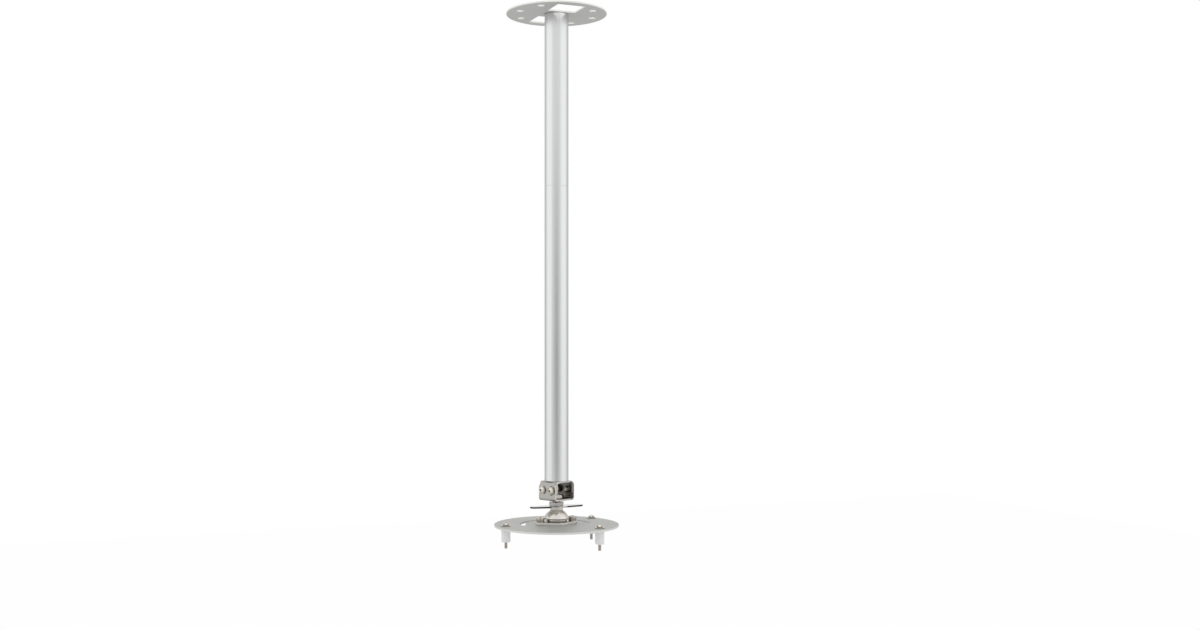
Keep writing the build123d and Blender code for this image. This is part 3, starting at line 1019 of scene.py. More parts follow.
class RowBench(NodeBench):
    """Builds a geometry tree that starts from a mesh and ends in one with a finish."""

    def __init__(self, name: str, sockets: dict[str, str]) -> None:
        """Makes the tree with its geometry, its own inputs and its finish.

        Args:
            name: Name of the tree.
            sockets: Types of its own inputs by their labels.
        """
        super().__init__(bpy.data.node_groups.new(name, "GeometryNodeTree"))
        self.identifiers: dict[str, str] = {}
        sockets = {"Geometry": "NodeSocketGeometry", **sockets, "Finish": "NodeSocketMaterial"}
        for label, kind in sockets.items():
            made = self.tree.interface.new_socket(name=label, in_out="INPUT", socket_type=kind)
            self.identifiers[label] = made.identifier
        self.tree.interface.new_socket(name="Geometry", in_out="OUTPUT", socket_type="NodeSocketGeometry")
        self.inputs = self.node("NodeGroupInput").outputs

    def given(self, label: str) -> Signal:
        """One of the tree's inputs."""
        return Signal(self, self.inputs[label])

    def close(self, geometry: Signal) -> None:
        """Ends the tree in real geometry that carries its finish.

        Args:
            geometry: What the tree has made.
        """
        real = self.signal("GeometryNodeRealizeInstances", inputs={"Geometry": geometry})
        dressed = {"Geometry": real, "Material": self.given("Finish")}
        self.node("NodeGroupOutput", inputs={0: self.signal("GeometryNodeSetMaterial", inputs=dressed)})

    def run(self, base: Mesh, values: dict[str, object]) -> Mesh:
        """Runs the tree on a mesh.

        Args:
            base: Mesh that the modifier stands on; it is used up.
            values: Inputs by their names.

        Returns:
            The plain mesh that comes out.
        """
        carrier = add_object(self.tree.name, base)
        modifier = carrier.modifiers.new("row", "NODES")
        modifier.node_group = self.tree
        for label, value in values.items():
            modifier[self.identifiers[label]] = value
        made = evaluated(carrier)
        carrier.modifiers.remove(modifier)
        bpy.data.objects.remove(carrier)
        bpy.data.meshes.remove(base)
        return made


class ThreadTree:
    """Geometry tree that winds a screw thread's ridge upwards from the origin."""

    SIZES = ("Radius", "Pitch", "Length")

    def __init__(self) -> None:
        """Builds the tree: a helix with a sharp ridge swept along it."""
        self.bench = bench = RowBench("screw_thread", dict.fromkeys(self.SIZES, "NodeSocketFloat"))
        radius, pitch, length = (bench.given(size) for size in self.SIZES)
        half = pitch * 0.5
        middle = radius - half
        sizes = {"Resolution": 28, "Rotations": length / pitch, "Height": length}
        sizes |= {"Start Radius": middle, "End Radius": middle}
        helix = bench.signal("GeometryNodeCurveSpiral", inputs=sizes)
        upright = bench.signal("GeometryNodeSetCurveNormal", {"mode": "Z_UP"}, {"Curve": helix})
        ridge = bench.signal("GeometryNodeCurvePrimitiveCircle", inputs={"Resolution": 4, "Radius": half})
        sweep = {"Curve": upright, "Profile Curve": ridge, "Fill Caps": True}
        bench.close(bench.signal("GeometryNodeCurveToMesh", inputs=sweep))

    def wind(self, radius: float, pitch: float, length: float, finish: Material) -> Mesh:
        """A thread's ridge of an outside radius, a pitch and a length."""
        values = dict(zip(self.SIZES, (radius, pitch, length)))
        return self.bench.run(bpy.data.meshes.new("thread_base"), {**values, "Finish": finish})


@dataclass
class Place:
    """Where a fastener sits, which way its head faces and how it is turned, in degrees."""

    at: Triple
    facing: Triple = UP
    turn: float = 0.0


class FastenerTree:
    """Geometry tree that sets one pattern at each place of a row."""

    def __init__(self) -> None:
        """Builds the tree: the pattern's Z follows each place's facing, then turns about it."""
        self.bench = bench = RowBench("fastener_row", {"Pattern": "NodeSocketObject"})
        shown = {"Object": bench.given("Pattern"), "As Instance": True}
        pattern = bench.signal("GeometryNodeObjectInfo", inputs=shown, output="Geometry")
        named = "GeometryNodeInputNamedAttribute"
        facing = bench.signal(named, {"data_type": "FLOAT_VECTOR"}, {"Name": "facing"})
        turn = bench.signal(named, {"data_type": "FLOAT"}, {"Name": "turn"})
        aligned = bench.signal("FunctionNodeAlignRotationToVector", {"axis": "Z"}, {"Vector": facing})
        spin = bench.signal("FunctionNodeAxisAngleToRotation", inputs={"Axis": UP, "Angle": turn})
        turns = {"Rotation": aligned, "Rotate By": spin}
        turned = bench.signal("FunctionNodeRotateRotation", {"rotation_space": "LOCAL"}, turns)
        row = {"Points": bench.given("Geometry"), "Instance": pattern, "Rotation": turned}
        bench.close(bench.signal("GeometryNodeInstanceOnPoints", inputs=row))

    def set_out(self, pattern: Mesh, places: Sequence[Place], finish: Material) -> Mesh:
        """Copies of a pattern at several places.

        Args:
            pattern: Mesh of one fastener along Z; it is used up.
            places: Where each copy goes.
            finish: Material of the copies.

        Returns:
            One mesh with all the copies.
        """
        row = bpy.data.meshes.new("places")
        row.from_pydata([place.at for place in places], [], [])
        row.attributes.new("facing", "FLOAT_VECTOR", "POINT")
        row.attributes.new("turn", "FLOAT", "POINT")
        for index, place in enumerate(places):
            row.attributes["facing"].data[index].vector = place.facing
            row.attributes["turn"].data[index].value = math.radians(place.turn)
        model = add_object("pattern", pattern)
        made = self.bench.run(row, {"Pattern": model, "Finish": finish})
        bpy.data.objects.remove(model)
        bpy.data.meshes.remove(pattern)
        smooth_by_angle(made)
        return made


class Workshop:
    """What every sub-assembly shares: finishes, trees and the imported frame."""

    def __init__(self, nodes: dict[str, Object]) -> None:
        """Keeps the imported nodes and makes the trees.

        Args:
            nodes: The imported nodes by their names.
        """
        self.nodes = nodes
        self.threads = ThreadTree()
        self.rows = FastenerTree()

    def top(self, node: str) -> float:
        """Height of a node's highest point in millimetres."""
        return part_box(node)[1].z / MM

    def under(self, node: str) -> float:
        """Height of a node's lowest point in millimetres."""
        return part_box(node)[0].z / MM

    def thread(self, radius: float, pitch: float, low: float, high: float, finish: Finish) -> Mesh:
        """A thread's ridge between two heights on the Z axis.

        Args:
            radius: Outside radius.
            pitch: Rise of one turn.
            low: Its lower end.
            high: Its upper end.
            finish: Its finish.

        Returns:
            The ridge.
        """
        ridge = self.threads.wind(radius, pitch, high - low, material_of(finish))
        ridge.transform(lifted(low))
        return ridge

    def settle(self, made: Shell | Mesh, node: str, body: Body, finish: Finish) -> None:
        """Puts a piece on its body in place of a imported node.

        Args:
            made: The piece in millimetres.
            node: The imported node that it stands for.
            body: The body that carries it.
            finish: Its finish.
        """
        mesh = made.finish(node) if isinstance(made, Shell) else made
        mesh.transform(Matrix.Scale(MM, 4))
        mesh.materials.clear()
        mesh.materials.append(material_of(finish))
        piece = add_object(f"{node}_dressed", mesh)
        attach(piece, body.value)
        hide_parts(node)
        log.info("%s: %d faces on %s", piece.name, len(mesh.polygons), body.value)

    def settle_sheet(self, loops: Sequence[Cut], node: str, body: Body, finish: Finish) -> None:
        """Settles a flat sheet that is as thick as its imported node."""
        under = self.under(node)
        self.settle(Shell().sheet(loops, self.top(node) - under, under), node, body, finish)

    def settle_row(
        self, pattern: Shell, places: Sequence[Place], node: str, body: Body, finish: Finish
    ) -> None:
        """Settles copies of a pattern at several places as one piece."""
        row = self.rows.set_out(pattern.finish(node), places, material_of(finish))
        self.settle(row, node, body, finish)

    def paint(self, node: str, finish: Finish) -> None:
        """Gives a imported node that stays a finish.

        Args:
            node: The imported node.
            finish: Its finish.
        """
        materials = self.nodes[node].data.materials
        materials.clear()
        materials.append(material_of(finish))
        log.info("%s: painted %s", node, finish.name)


@dataclass
class HeadedScrew:
    """A domed screw along Z with its head's underside at the origin.

    Fields:
        band: Height of the head's wall, below its dome.
        recess_reach: Greatest reach of the recess from the axis.
        floor_share: Size of the recess's floor against its mouth.
        margin: Width round the recess before the dome's steps begin.
    """

    shank: float
    head: float
    height: float
    band: float
    recess: Callable[[float], float]
    recess_depth: float
    recess_reach: float
    floor_share: float = 1.0
    tip: float = 0.4
    lip: float = 0.12
    edge: float = 0.2
    margin: float = 0.1
    dome_steps: int = 6

    def shell(self, length: float) -> Shell:
        """Turns the screw, without a thread.

        Args:
            length: Length below the head.

        Returns:
            The shell.
        """
        radius, core = self.head / 2, self.shank / 2
        floor = self.height - self.recess_depth
        spread = 1.0 + self.lip / self.recess_reach

        def mouth(angle: float) -> float:
            """The recess's eased outline."""
            return self.recess(angle) * spread

        rings: list[Ring] = [
            (0, floor - self.edge),
            (lambda angle: self.recess(angle) * self.floor_share, floor),
            (self.recess, lambda angle: self._dome(self.recess(angle)) - self.lip),
            (mouth, lambda angle: self._dome(mouth(angle))),
        ]
        first = self.recess_reach * spread + self.margin
        for step in range(self.dome_steps + 1):
            reach = first + (radius - first) * step / self.dome_steps
            rings.append((reach, self._dome(reach)))
        rings += [(radius, self.edge), (radius - self.edge, 0), (core, 0)]
        rings += [(core, self.tip - length), (core - self.tip, -length), (0, -length)]
        return Shell().turn(rings, 72)

    def _dome(self, reach: float) -> float:
        """Height of the head's top.

        Args:
            reach: Distance from the axis.

        Returns:
            The height.
        """
        drop = self.height - self.band
        bow = ((self.head / 2) ** 2 + drop**2) / (2 * drop)
        return self.height - bow + math.sqrt(max(0.0, bow**2 - reach**2))


BUTTON_SCREW = HeadedScrew(
    shank=5.0, head=9.5, height=2.8, band=0.8, recess=hexagon(3.0), recess_depth=1.6, recess_reach=1.73
)
PAN_SCREW = HeadedScrew(
    shank=3.2,
    head=8.0,
    height=3.0,
    band=1.0,
    recess=cross(4.6, 1.1),
    recess_depth=1.7,
    recess_reach=2.3,
    floor_share=0.55,
)


@dataclass
class KnurledScrew:
    """A socket head screw along Z with its head's underside at the origin.

    Fields:
        crown: Inset and drop of each ring of the head's eased top.
        foot: Inset and height of each ring of its eased underside.
        knurled: Lowest height of the knurls, and their distance from the top.
        tip: Inset and height of the chamfer at the tip.
        thread_ends: Bare lengths of the thread at its tip and at its grip.
    """

    shank: float = 6.0
    pitch: float = 1.0
    head: float = 10.0
    height: float = 6.0
    key: KeySocket = KeySocket(flats=5.0, mouth=3.1, depth=3.0, lip=0.2)
    knurls: int = 36
    knurl: float = 0.06
    knurled: Point = (0.5, 0.8)
    crown: Stops = ((0.6, 0.0), (0.25, 0.15), (0.15, 0.5))
    foot: Stops = ((0.15, 0.3), (0.3, 0.0))
    tip: Point = (0.5, 0.6)
    thread_ends: Point = (0.6, 0.7)

    def shell(self, length: float, grip: float) -> Shell:
        """Turns the screw, without a thread.

        Args:
            length: Length below the head.
            grip: Length of its plain part.

        Returns:
            The shell.
        """
        radius, shank, core = self.head / 2, self.shank / 2, self.shank / 2 - self.pitch / 2
        rings = self.key.rings(self.height)
        rings += [(radius - inset, self.height - drop) for inset, drop in self.crown]
        rings += [(self._knurl, self.height - self.knurled[1]), (self._knurl, self.knurled[0])]
        rings += [(radius - inset, height) for inset, height in self.foot]
        rings += [(shank, 0.0), (shank, -grip), (core, -grip)]
        rings += [(core, self.tip[1] - length), (core - self.tip[0], -length), (0, -length)]
        return Shell().turn(rings, 144)

    def _knurl(self, angle: float) -> float:
        """The head's edge, with straight knurls."""
        return self.head / 2 - self.knurl * (1 - math.cos(self.knurls * angle))


@dataclass
class HexNut:
    """A nut along Z with its lower face at the origin.

    Fields:
        face_share: Size of its round faces against its width over flats.
        slope: Slope of the chamfer on its corners in degrees.
        sink: Width and depth of the countersink of its bore.
    """

    flats: float
    height: float
    bore: float
    turn: float = 0.0
    face_share: float = 0.95
    slope: float = 30.0
    sink: Point = (0.4, 0.5)

    def shell(self) -> Shell:
        """Turns the nut, with its corners chamfered at both ends and its bore countersunk.

        Returns:
            The shell.
        """
        outline = hexagon(self.flats, self.turn)
        face = self.flats / 2 * self.face_share
        slope = math.tan(math.radians(self.slope))

        def drop(angle: float) -> float:
            """How far the chamfer has come down at the outline."""
            return (outline(angle) - face) * slope

        bore, mouth = self.bore / 2, self.bore / 2 + self.sink[0]
        rings: list[Ring] = [(bore, self.sink[1]), (mouth, 0.0), (face, 0.0), (outline, drop)]
        rings += [(outline, lambda angle: self.height - drop(angle)), (face, self.height)]
        rings += [(mouth, self.height), (bore, self.height - self.sink[1])]
        return Shell().turn(rings, 72, closed=True)


def washer(radius: float, bore: float, thickness: float, ease: float = 0.2) -> Shell:
    """A flat washer on the origin."""
    return Shell().sheet([Cut(circle(radius, count=64), ease), Cut(circle(bore), ease / 2)], thickness)


@dataclass
class CeilingFixing:
    """The round ceiling plate and its two countersunk screws."""

    shop: Workshop
    diameter: float = 125.0
    edge: float = 0.4
    hole_circle: float = 97.0
    hole: float = 8.5
    hole_angles: tuple[float, ...] = (0, 45, 135, 180, 225, 315)
    window_across: float = 36.0
    window_radial: float = 34.0
    window_middle: float = 32.5
    window_corner: float = 1.5
    screw_place: float = 7.0
    screw: float = 5.0
    screw_head: float = 8.8
    screw_edge: float = 0.1
    screw_tip: float = 0.5
    key: KeySocket = KeySocket(flats=2.5, mouth=1.625, depth=2.4, lip=0.1)
    sink: float = 1.9
    sink_edge: float = 0.15

    def build(self) -> None:
        """Builds the plate and the screws."""
        self._plate()
        self._screws()

    def _plate(self) -> None:
        """Sheet with six holes, two windows and two countersunk holes."""
        loops = [Cut(circle(self.diameter / 2, count=180), self.edge)]
        for angle in self.hole_angles:
            middle = arc(self.hole_circle / 2, (0, 0), angle, angle, 1)[0]
            loops.append(Cut(circle(self.hole / 2, middle), self.edge))
        for middle in both(self.window_middle):
            corners = rectangle(self.window_across, self.window_radial, (0, middle))
            loops.append(Cut(rounded(corners, [self.window_corner] * 4)))
        for place in both(self.screw_place):
            loops.append(Cut(circle(self.screw / 2 + LOOSE_FIT, (place, 0)), self.sink_edge, self.sink))
        self.shop.settle_sheet(loops, "ceiling_plate", Body.POLE, CEILING_COAT)

    def _screws(self) -> None:
        """Countersunk screws with a key socket."""
        top = self.shop.top("ceiling_screws")
        end = self.shop.under("ceiling_screws") - top
        head, core = self.screw_head / 2, self.screw / 2
        rings = self.key.rings(0)
        rings += [(head - self.screw_edge, 0), (head, -self.screw_edge), (core, core - head)]
        rings += [(core, end + self.screw_tip), (core - self.screw_tip, end), (0, end)]
        places = [Place((x, 0, top)) for x in both(-self.screw_place)]
        self.shop.settle_row(Shell().turn(rings), places, "ceiling_screws", Body.POLE, SCREWS)


@dataclass
class Pole:
    """Two butted tubes with the grub screws along their rear; plugs and sleeve stay as packed.

    Fields:
        grub_spin: Degrees that a screw is turned for each millimetre of its height.
        drill_inside: How far inside the bore the drilling of their holes starts.
    """

    shop: Workshop
    radius: float = 15.0
    bore: float = 13.0
    top_round: float = 0.8
    seam_chamfer: float = 0.3
    grub: float = 5.0
    grub_length: float = 6.0
    grub_edge: float = 0.4
    grub_recess: float = 0.3
    grub_spin: float = 20.0
    key: KeySocket = KeySocket(flats=2.5, mouth=1.65, depth=2.4, lip=0.15)
    drill_inside: float = 4.0
    drill_length: float = 9.0
    grub_heights: dict[str, list[float]] = field(
        default_factory=lambda: {"upper_tube": [-14.0, -191.0], "lower_tube": [-241.0, -570.0]}
    )

    def build(self) -> None:
        """Builds the tubes and grub screws and paints what is inside."""
        for node in self.grub_heights:
            self._tube(node)
        self._grub_screws()
        for node in ("joint_sleeve", "top_plug", "bottom_plug"):
            self.shop.paint(node, TUBE)

    def _tube(self, node: str) -> None:
        """A tube with its ends eased and its rear holes cut through.

        Args:
            node: The tube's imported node.
        """
        top, under = self.shop.top(node), self.shop.under(node)
        crown = self.top_round if node == "upper_tube" else self.seam_chamfer
        rings: list[Ring] = [(self.bore, top)]
        rings += [(self.radius - inset, top - drop) for inset, drop in eased(crown)]
        rings.append((self.radius, top - crown - self.seam_chamfer))
        for height in self.grub_heights[node]:
            rings += [(self.radius, height + self.grub), (self.radius, height - self.grub)]
        rings += [(self.radius, under + self.seam_chamfer), (self.radius - self.seam_chamfer, under)]
        rings.append((self.bore, under))
        tube = Shell().turn(rings, 144, closed=True).finish(node)
        self.shop.settle(self._drilled(tube, node), node, Body.POLE, TUBE)

    def _drilled(self, tube: Mesh, node: str) -> Mesh:
        """Cuts a tube's grub screw holes from the rear.

        Args:
            tube: The plain tube.
            node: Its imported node.

        Returns:
            The drilled tube.
        """
        drills = Shell()
        drill = self.grub / 2 + CLOSE_FIT
        for height in self.grub_heights[node]:
            bit = Shell().turn([(0, 0), (drill, 0), (drill, self.drill_length), (0, self.drill_length)], 32)
            start = Matrix.Translation((0, self.bore - self.drill_inside, height))
            drills.take(bit.place(start @ Matrix.Rotation(-math.pi / 2, 4, "X")).finish("bit"))
        work = add_object("tube_blank", tube)
        cutter = add_object("tube_drills", drills.finish("drills"))
        cut = work.modifiers.new("drill", "BOOLEAN")
        cut.operation, cut.solver, cut.object = "DIFFERENCE", "EXACT", cutter
        made = evaluated(work)
        for item in (work, cutter):
            bpy.data.objects.remove(item)
        smooth_by_angle(made)
        return made

    def _grub_screws(self) -> None:
        """Headless screws sunk in the rear of the pole."""
        core, end = self.grub / 2, -self.grub_length
        rings = self.key.rings(0) + [(core - self.grub_edge, 0), (core, -self.grub_edge)]
        rings += [(core, self.grub_edge + end), (core - self.grub_edge, end), (0, end)]
        depth = self.radius - self.grub_recess
        heights = [height for group in self.grub_heights.values() for height in group]
        places = [Place((0, depth, height), (0, 1, 0), self.grub_spin * height) for height in heights]
        self.shop.settle_row(Shell().turn(rings), places, "pole_grub_screws", Body.POLE, BLACKENED)


@dataclass
class FoldedYoke:
    """A sheet that is cut flat, then folded twice into a yoke with two ears.

    The flat pattern's X runs across the yoke. A height is measured from the web's
    outer face along an ear.

    Fields:
        rounds: Radius of the ears' corners at the front and at the rear.
    """

    width: float
    length: float
    ear_height: float
    rounds: Point
    ear_holes: list[Loop]
    web_holes: list[Loop]
    sheet: float
    fold: float = 1.5
    fold_steps: int = 8

    def __post_init__(self) -> None:
        """Works out the flat pattern's lengths."""
        self.bend = self.fold + self.sheet
        self.flat = self.width / 2 - self.bend
        self.neutral = self.fold + self.sheet / 2
        self.arc = self.neutral * math.pi / 2

    def along_flat(self, height: float) -> float:
        """Distance from the pattern's middle to a height on an ear."""
        return self.flat + self.arc + height - self.bend

    def shell(self) -> Shell:
        """Cuts and folds the sheet, with its web's outer face at Z 0 and its ears down.

        Returns:
            The shell.
        """
        front, rear = self.rounds
        corners = rectangle(2 * self.along_flat(self.ear_height), self.length)
        loops = [Cut(rounded(corners, [front, front, rear, rear]), SHEET_EASE)]
        loops += [Cut(hole, HOLE_EASE) for hole in self.web_holes]
        for hole in self.ear_holes:
            right = [(self.along_flat(height), station) for station, height in hole]
            loops.append(Cut(right[::-1], HOLE_EASE))
            loops.append(Cut([(-x, y) for x, y in right], HOLE_EASE))
        blank = Shell().sheet(loops, self.sheet, -self.sheet)
        stations = [self.flat + self.arc * step / self.fold_steps for step in range(self.fold_steps + 1)]
        return blank.slice([side for station in stations for side in both(station)]).shape(self._folded)

    def _folded(self, point: Vector) -> Vector:
        """Folds one point of the flat pattern.

        Args:
            point: The point.

        Returns:
            Its folded place.
        """
        past, depth = abs(point.x) - self.flat, -point.z
        if past <= 0:
            return point.copy()
        if past < self.arc:
            turn = past / self.neutral
            reach = self.bend - depth
            x, z = self.flat + reach * math.sin(turn), reach * math.cos(turn) - self.bend
        else:
            x, z = self.flat + self.bend - depth, self.arc - past - self.bend
        return Vector((math.copysign(x, point.x), point.y, z))


@dataclass
class TiltBracket:
    """Two folded yokes that tilt on each other, with their screws, washers and nuts.

    Fields:
        tilt_drop: Height of the tilt axis below the upper yoke's web.
        tilt_rise: Height of the tilt axis above the lower yoke's web.
        station: Distance of the pivot and of the lock from the pole's axis.
        spin: Degrees that a screw is turned for each millimetre of its station.
    """

    shop: Workshop
    turn: float = 25.0
    length: float = 28.0
    sheet: float = 2.0
    upper_width: float = 30.0
    upper_ear: float = 16.5
    upper_rounds: Point = (2.5, 2.5)
    tilt_drop: float = 11.0
    lower_width: float = 34.6
    lower_ear: float = 22.6
    lower_rounds: Point = (4.0, 7.0)
    tilt_rise: float = 13.0
    station: float = 7.5
    slot_width: float = 5.6
    tilt_range: float = 12.0
    stud_hole: float = 10.5
    hole_steps: int = 32
    screw_length: float = 9.7
    foot_place: float = 7.0
    foot_length: float = 16.0
    washer: Point = (5.25, 2.75)
    washer_thickness: float = 1.0
    nut: float = 8.0
    nut_height: float = 4.0
    nut_turn: float = 9.0
    spin: float = 17.0

    def build(self) -> None:
        """Builds the yokes and their fasteners."""
        self.across = Vector((math.cos(math.radians(self.turn)), math.sin(math.radians(self.turn)), 0))
        self.along = Vector((-self.across.y, self.across.x, 0))
        self.web = self.shop.top("upper_yoke")
        self._upper_yoke()
        self._lower_yoke()
        self._tilt_fasteners()
        self._foot_screws()

    def _hole(self, middle: Point, fit: float) -> Loop:
        """Round hole for a screw."""
        return circle(BUTTON_SCREW.shank / 2 + fit, middle, self.hole_steps)

    def _upper_yoke(self) -> None:
        """Yoke under the pole, with its ears down."""
        ear_holes = [self._hole((place, self.tilt_drop), CLOSE_FIT) for place in both(self.station)]
        web_holes = [self._hole((place, 0), LOOSE_FIT) for place in both(self.foot_place)]
        sizes = (self.upper_width, self.length, self.upper_ear, self.upper_rounds)
        yoke = FoldedYoke(*sizes, ear_holes, web_holes, self.sheet)
        self.shop.settle(yoke.shell().place(self._seat(self.web)), "upper_yoke", Body.POLE, ZINC)

    def _lower_yoke(self) -> None:
        """Yoke above the ball joint, with its ears up and an arc slot in each."""
        pivot = (self.station, self.tilt_rise)
        ends = (180 - self.tilt_range, 180 + self.tilt_range)
        slot = arc_slot(pivot, 2 * self.station, self.slot_width, *ends, 8)
        ear_holes, web_holes = [self._hole(pivot, CLOSE_FIT), slot], [circle(self.stud_hole / 2)]
        sizes = (self.lower_width, self.length, self.lower_ear, self.lower_rounds)
        yoke = FoldedYoke(*sizes, ear_holes, web_holes, self.sheet)
        upside = Matrix.Scale(-1, 4, UP)
        seat = self._seat(self.shop.under("lower_yoke")) @ upside
        self.shop.settle(yoke.shell().place(seat), "lower_yoke", Body.BRACKET, ZINC)

    def _seat(self, height: float) -> Matrix:
        """The bracket's turn about the pole, at a height."""
        return lifted(height) @ Matrix.Rotation(math.radians(self.turn), 4, "Z")

    def _ear_places(self, stations: Sequence[float], reach: float, turn: float = 0.0) -> list[Place]:
        """Places on both ears that face outwards.

        Args:
            stations: Places along the ears.
            reach: Distance from the middle to each ear.
            turn: Turn of the fasteners in degrees.

        Returns:
            The places, on both ears for each station.
        """
        axis = Vector((0, 0, self.web - self.tilt_drop))
        places = []
        for station in stations:
            for side in both(1):
                at = self.along * station + self.across * (side * reach) + axis
                places.append(Place(tuple(at), tuple(self.across * side), turn + self.spin * station * side))
        return places

    def _tilt_fasteners(self) -> None:
        """Button head screws, washers and nuts on the ears."""
        outside = self.lower_width / 2
        stations = both(self.station)
        for node, station in zip(("tilt_pivot_screws", "tilt_lock_screws"), stations):
            places = self._ear_places([station], outside + self.washer_thickness)
            screw = BUTTON_SCREW.shell(self.screw_length)
            self.shop.settle_row(screw, places, node, Body.POLE, TILT_CROWNED)
        ring = washer(*self.washer, self.washer_thickness)
        places = self._ear_places(stations, outside)
        self.shop.settle_row(ring, places, "tilt_washers", Body.POLE, TILT_CROWNED)
        nut = HexNut(self.nut, self.nut_height, BUTTON_SCREW.shank + NUT_FIT).shell()
        inside = self.upper_width / 2 - self.sheet - self.nut_height
        places = self._ear_places(stations, inside, self.nut_turn)
        self.shop.settle_row(nut, places, "tilt_nuts", Body.POLE, SHADE_DARK_NUT)

    def _foot_screws(self) -> None:
        """Button head screws from the web up into the pole's plug."""
        seat = Vector((0, 0, self.web - self.sheet))
        spots = [tuple(self.across * place + seat) for place in both(self.foot_place)]
        places = [Place(spot, (0, 0, -1), self.turn) for spot in spots]
        screw = BUTTON_SCREW.shell(self.foot_length)
        self.shop.settle_row(screw, places, "foot_screws", Body.POLE, SCREWS)


@dataclass
class BallJoint:
    """Ball stud, wing lever, cup washer and the domed socket with its flange.

    Fields:
        neck_room: Distance from the dome to the stud's shoulder.
        thread_ends: Bare lengths of the stud's thread at its shoulder and at its tip.
        cup_flare: Inset and rise of each ring of the cup washer's eased lower edge.
        slip: Gap between the cup washer and the lever.
        grip_room: How far the flange screws' plain grip passes the plate.
        screw_spin: Degrees that a flange screw is turned for each millimetre of its place.
    """

    shop: Workshop
    dome: float = 16.5
    dome_steps: int = 20
    cavity: float = 11.4
    neck_hole: float = 7.5
    neck_inner: float = 6.22
    neck_edge: float = 0.3
    rim: float = 15.9
    rim_height: float = 1.0
    rim_edge: Point = (0.35, 0.1)
    ring: float = 13.0
    ring_height: float = 4.1
    ring_swell: float = 0.8
    ring_steps: int = 12
    ball: float = 9.6
    ball_flat: float = 2.0
    ball_steps: int = 16
    neck: float = 6.5
    neck_room: float = 0.4
    stud: float = 10.0
    stud_pitch: float = 1.5
    stud_tip: float = 0.6
    thread_ends: Point = (0.8, 1.1)
    key: KeySocket = KeySocket(flats=6.0, mouth=4.0, depth=-5.0, lip=-0.4, dip=0.1)
    nut_height: float = 5.0
    stud_nut: float = 16.0
    stud_nut_turn: float = 55.0
    wing_nut: float = 17.0
    wing_span: float = 70.0
    wing_hub: float = 11.0
    wing_tip: float = 6.0
    cup: float = 8.0
    cup_bore: float = 5.1
    cup_lip: float = 7.6
    cup_edge: float = 0.3
    cup_flare: Stops = ((0.15, 0.1), (0.0, 0.4))
    cup_gap: float = 0.1
    slip: float = 0.03
    flange_middle: float = 18.0
    flange_end: float = 6.0
    flange_room: float = 0.2
    flange_nut: float = 10.0
    screw: KnurledScrew = field(default_factory=KnurledScrew)
    screw_place: float = 21.5
    screw_spin: float = 11.0
    grip_room: float = 0.1

    def build(self) -> None:
        """Builds the joint from its stud to its flange."""
        self.middle = self.shop.under("ball_stud") + self.ball_flat
        self._stud()
        self._nut("stud_nut", self.stud_nut, self.stud_nut_turn, Body.BRACKET, SCREWS)
        self._nut("wing_nut", self.wing_nut, 0.0, Body.LOCK, LEVER_NUT)
        self._wing()
        self._cup()
        self._dome()
        self._flange()
        self._flange_fasteners()
        self.shop.paint("ball_seat", NYLON)

    def _turned(self, rings: Sequence[Ring], sides: int, node: str, body: Body, finish: Finish) -> None:
        """Settles a closed shell of rings round the ball's middle."""
        self.shop.settle(Shell().turn(rings, sides, True).place(lifted(self.middle)), node, body, finish)

    def _stud(self) -> None:
        """Half ball with a key socket, a neck and a thread."""
        radius, reach, tip = self.stud / 2, self.neck / 2, self.stud_tip
        core = radius - self.stud_pitch / 2
        end = self.shop.top("ball_stud") - self.middle
        shoulder = math.sqrt((self.dome + self.neck_room) ** 2 - radius**2)
        low, high = -math.asin(self.ball_flat / self.ball), math.acos(reach / self.ball)
        rings = self.key.rings(-self.ball_flat)
        rings += arc(self.ball, (0, 0), math.degrees(low), math.degrees(high), self.ball_steps)
        rings += [(reach, shoulder), (core, shoulder), (core, end - tip), (core - tip, end), (0, end)]
        ends = (shoulder + self.thread_ends[0], end - self.thread_ends[1])
        ridge = self.shop.thread(radius, self.stud_pitch, *ends, SCREWS)
        shell = Shell().turn(rings, 72).take(ridge).place(lifted(self.middle))
        self.shop.settle(shell, "ball_stud", Body.BRACKET, SCREWS)

    def _nut(self, node: str, flats: float, turn: float, body: Body, finish: Finish) -> None:
        """A nut on the stud."""
        nut = HexNut(flats, self.nut_height, self.stud + NUT_FIT, turn)
        self.shop.settle(nut.shell().place(lifted(self.shop.under(node))), node, body, finish)

    def _wing(self) -> None:
        """Flat lever, widest round the stud."""
        loops = [Cut(winged(self.wing_hub, self.wing_tip, self.wing_span / 2 - self.wing_tip))]
        loops.append(Cut(circle(self.stud / 2 + CLOSE_FIT), HOLE_EASE))
        self.shop.settle_sheet(loops, "wing_lever", Body.LOCK, LEVER)

    def _cup(self) -> None:
        """Cup washer that rides on the dome."""
        top = self.shop.top("cup_washer") - self.middle - self.slip
        rings = sphere(self.dome + self.cup_gap, self.cup_bore, self.cup_lip, 6)
        low = rings[-1][1]
        rings += [(self.cup - inset, low + rise) for inset, rise in self.cup_flare]
        rings += [(self.cup, top - self.cup_edge), (self.cup - self.cup_edge, top), (self.cup_bore, top)]
        self._turned(rings, 96, "cup_washer", Body.SWIVEL, NICKEL)

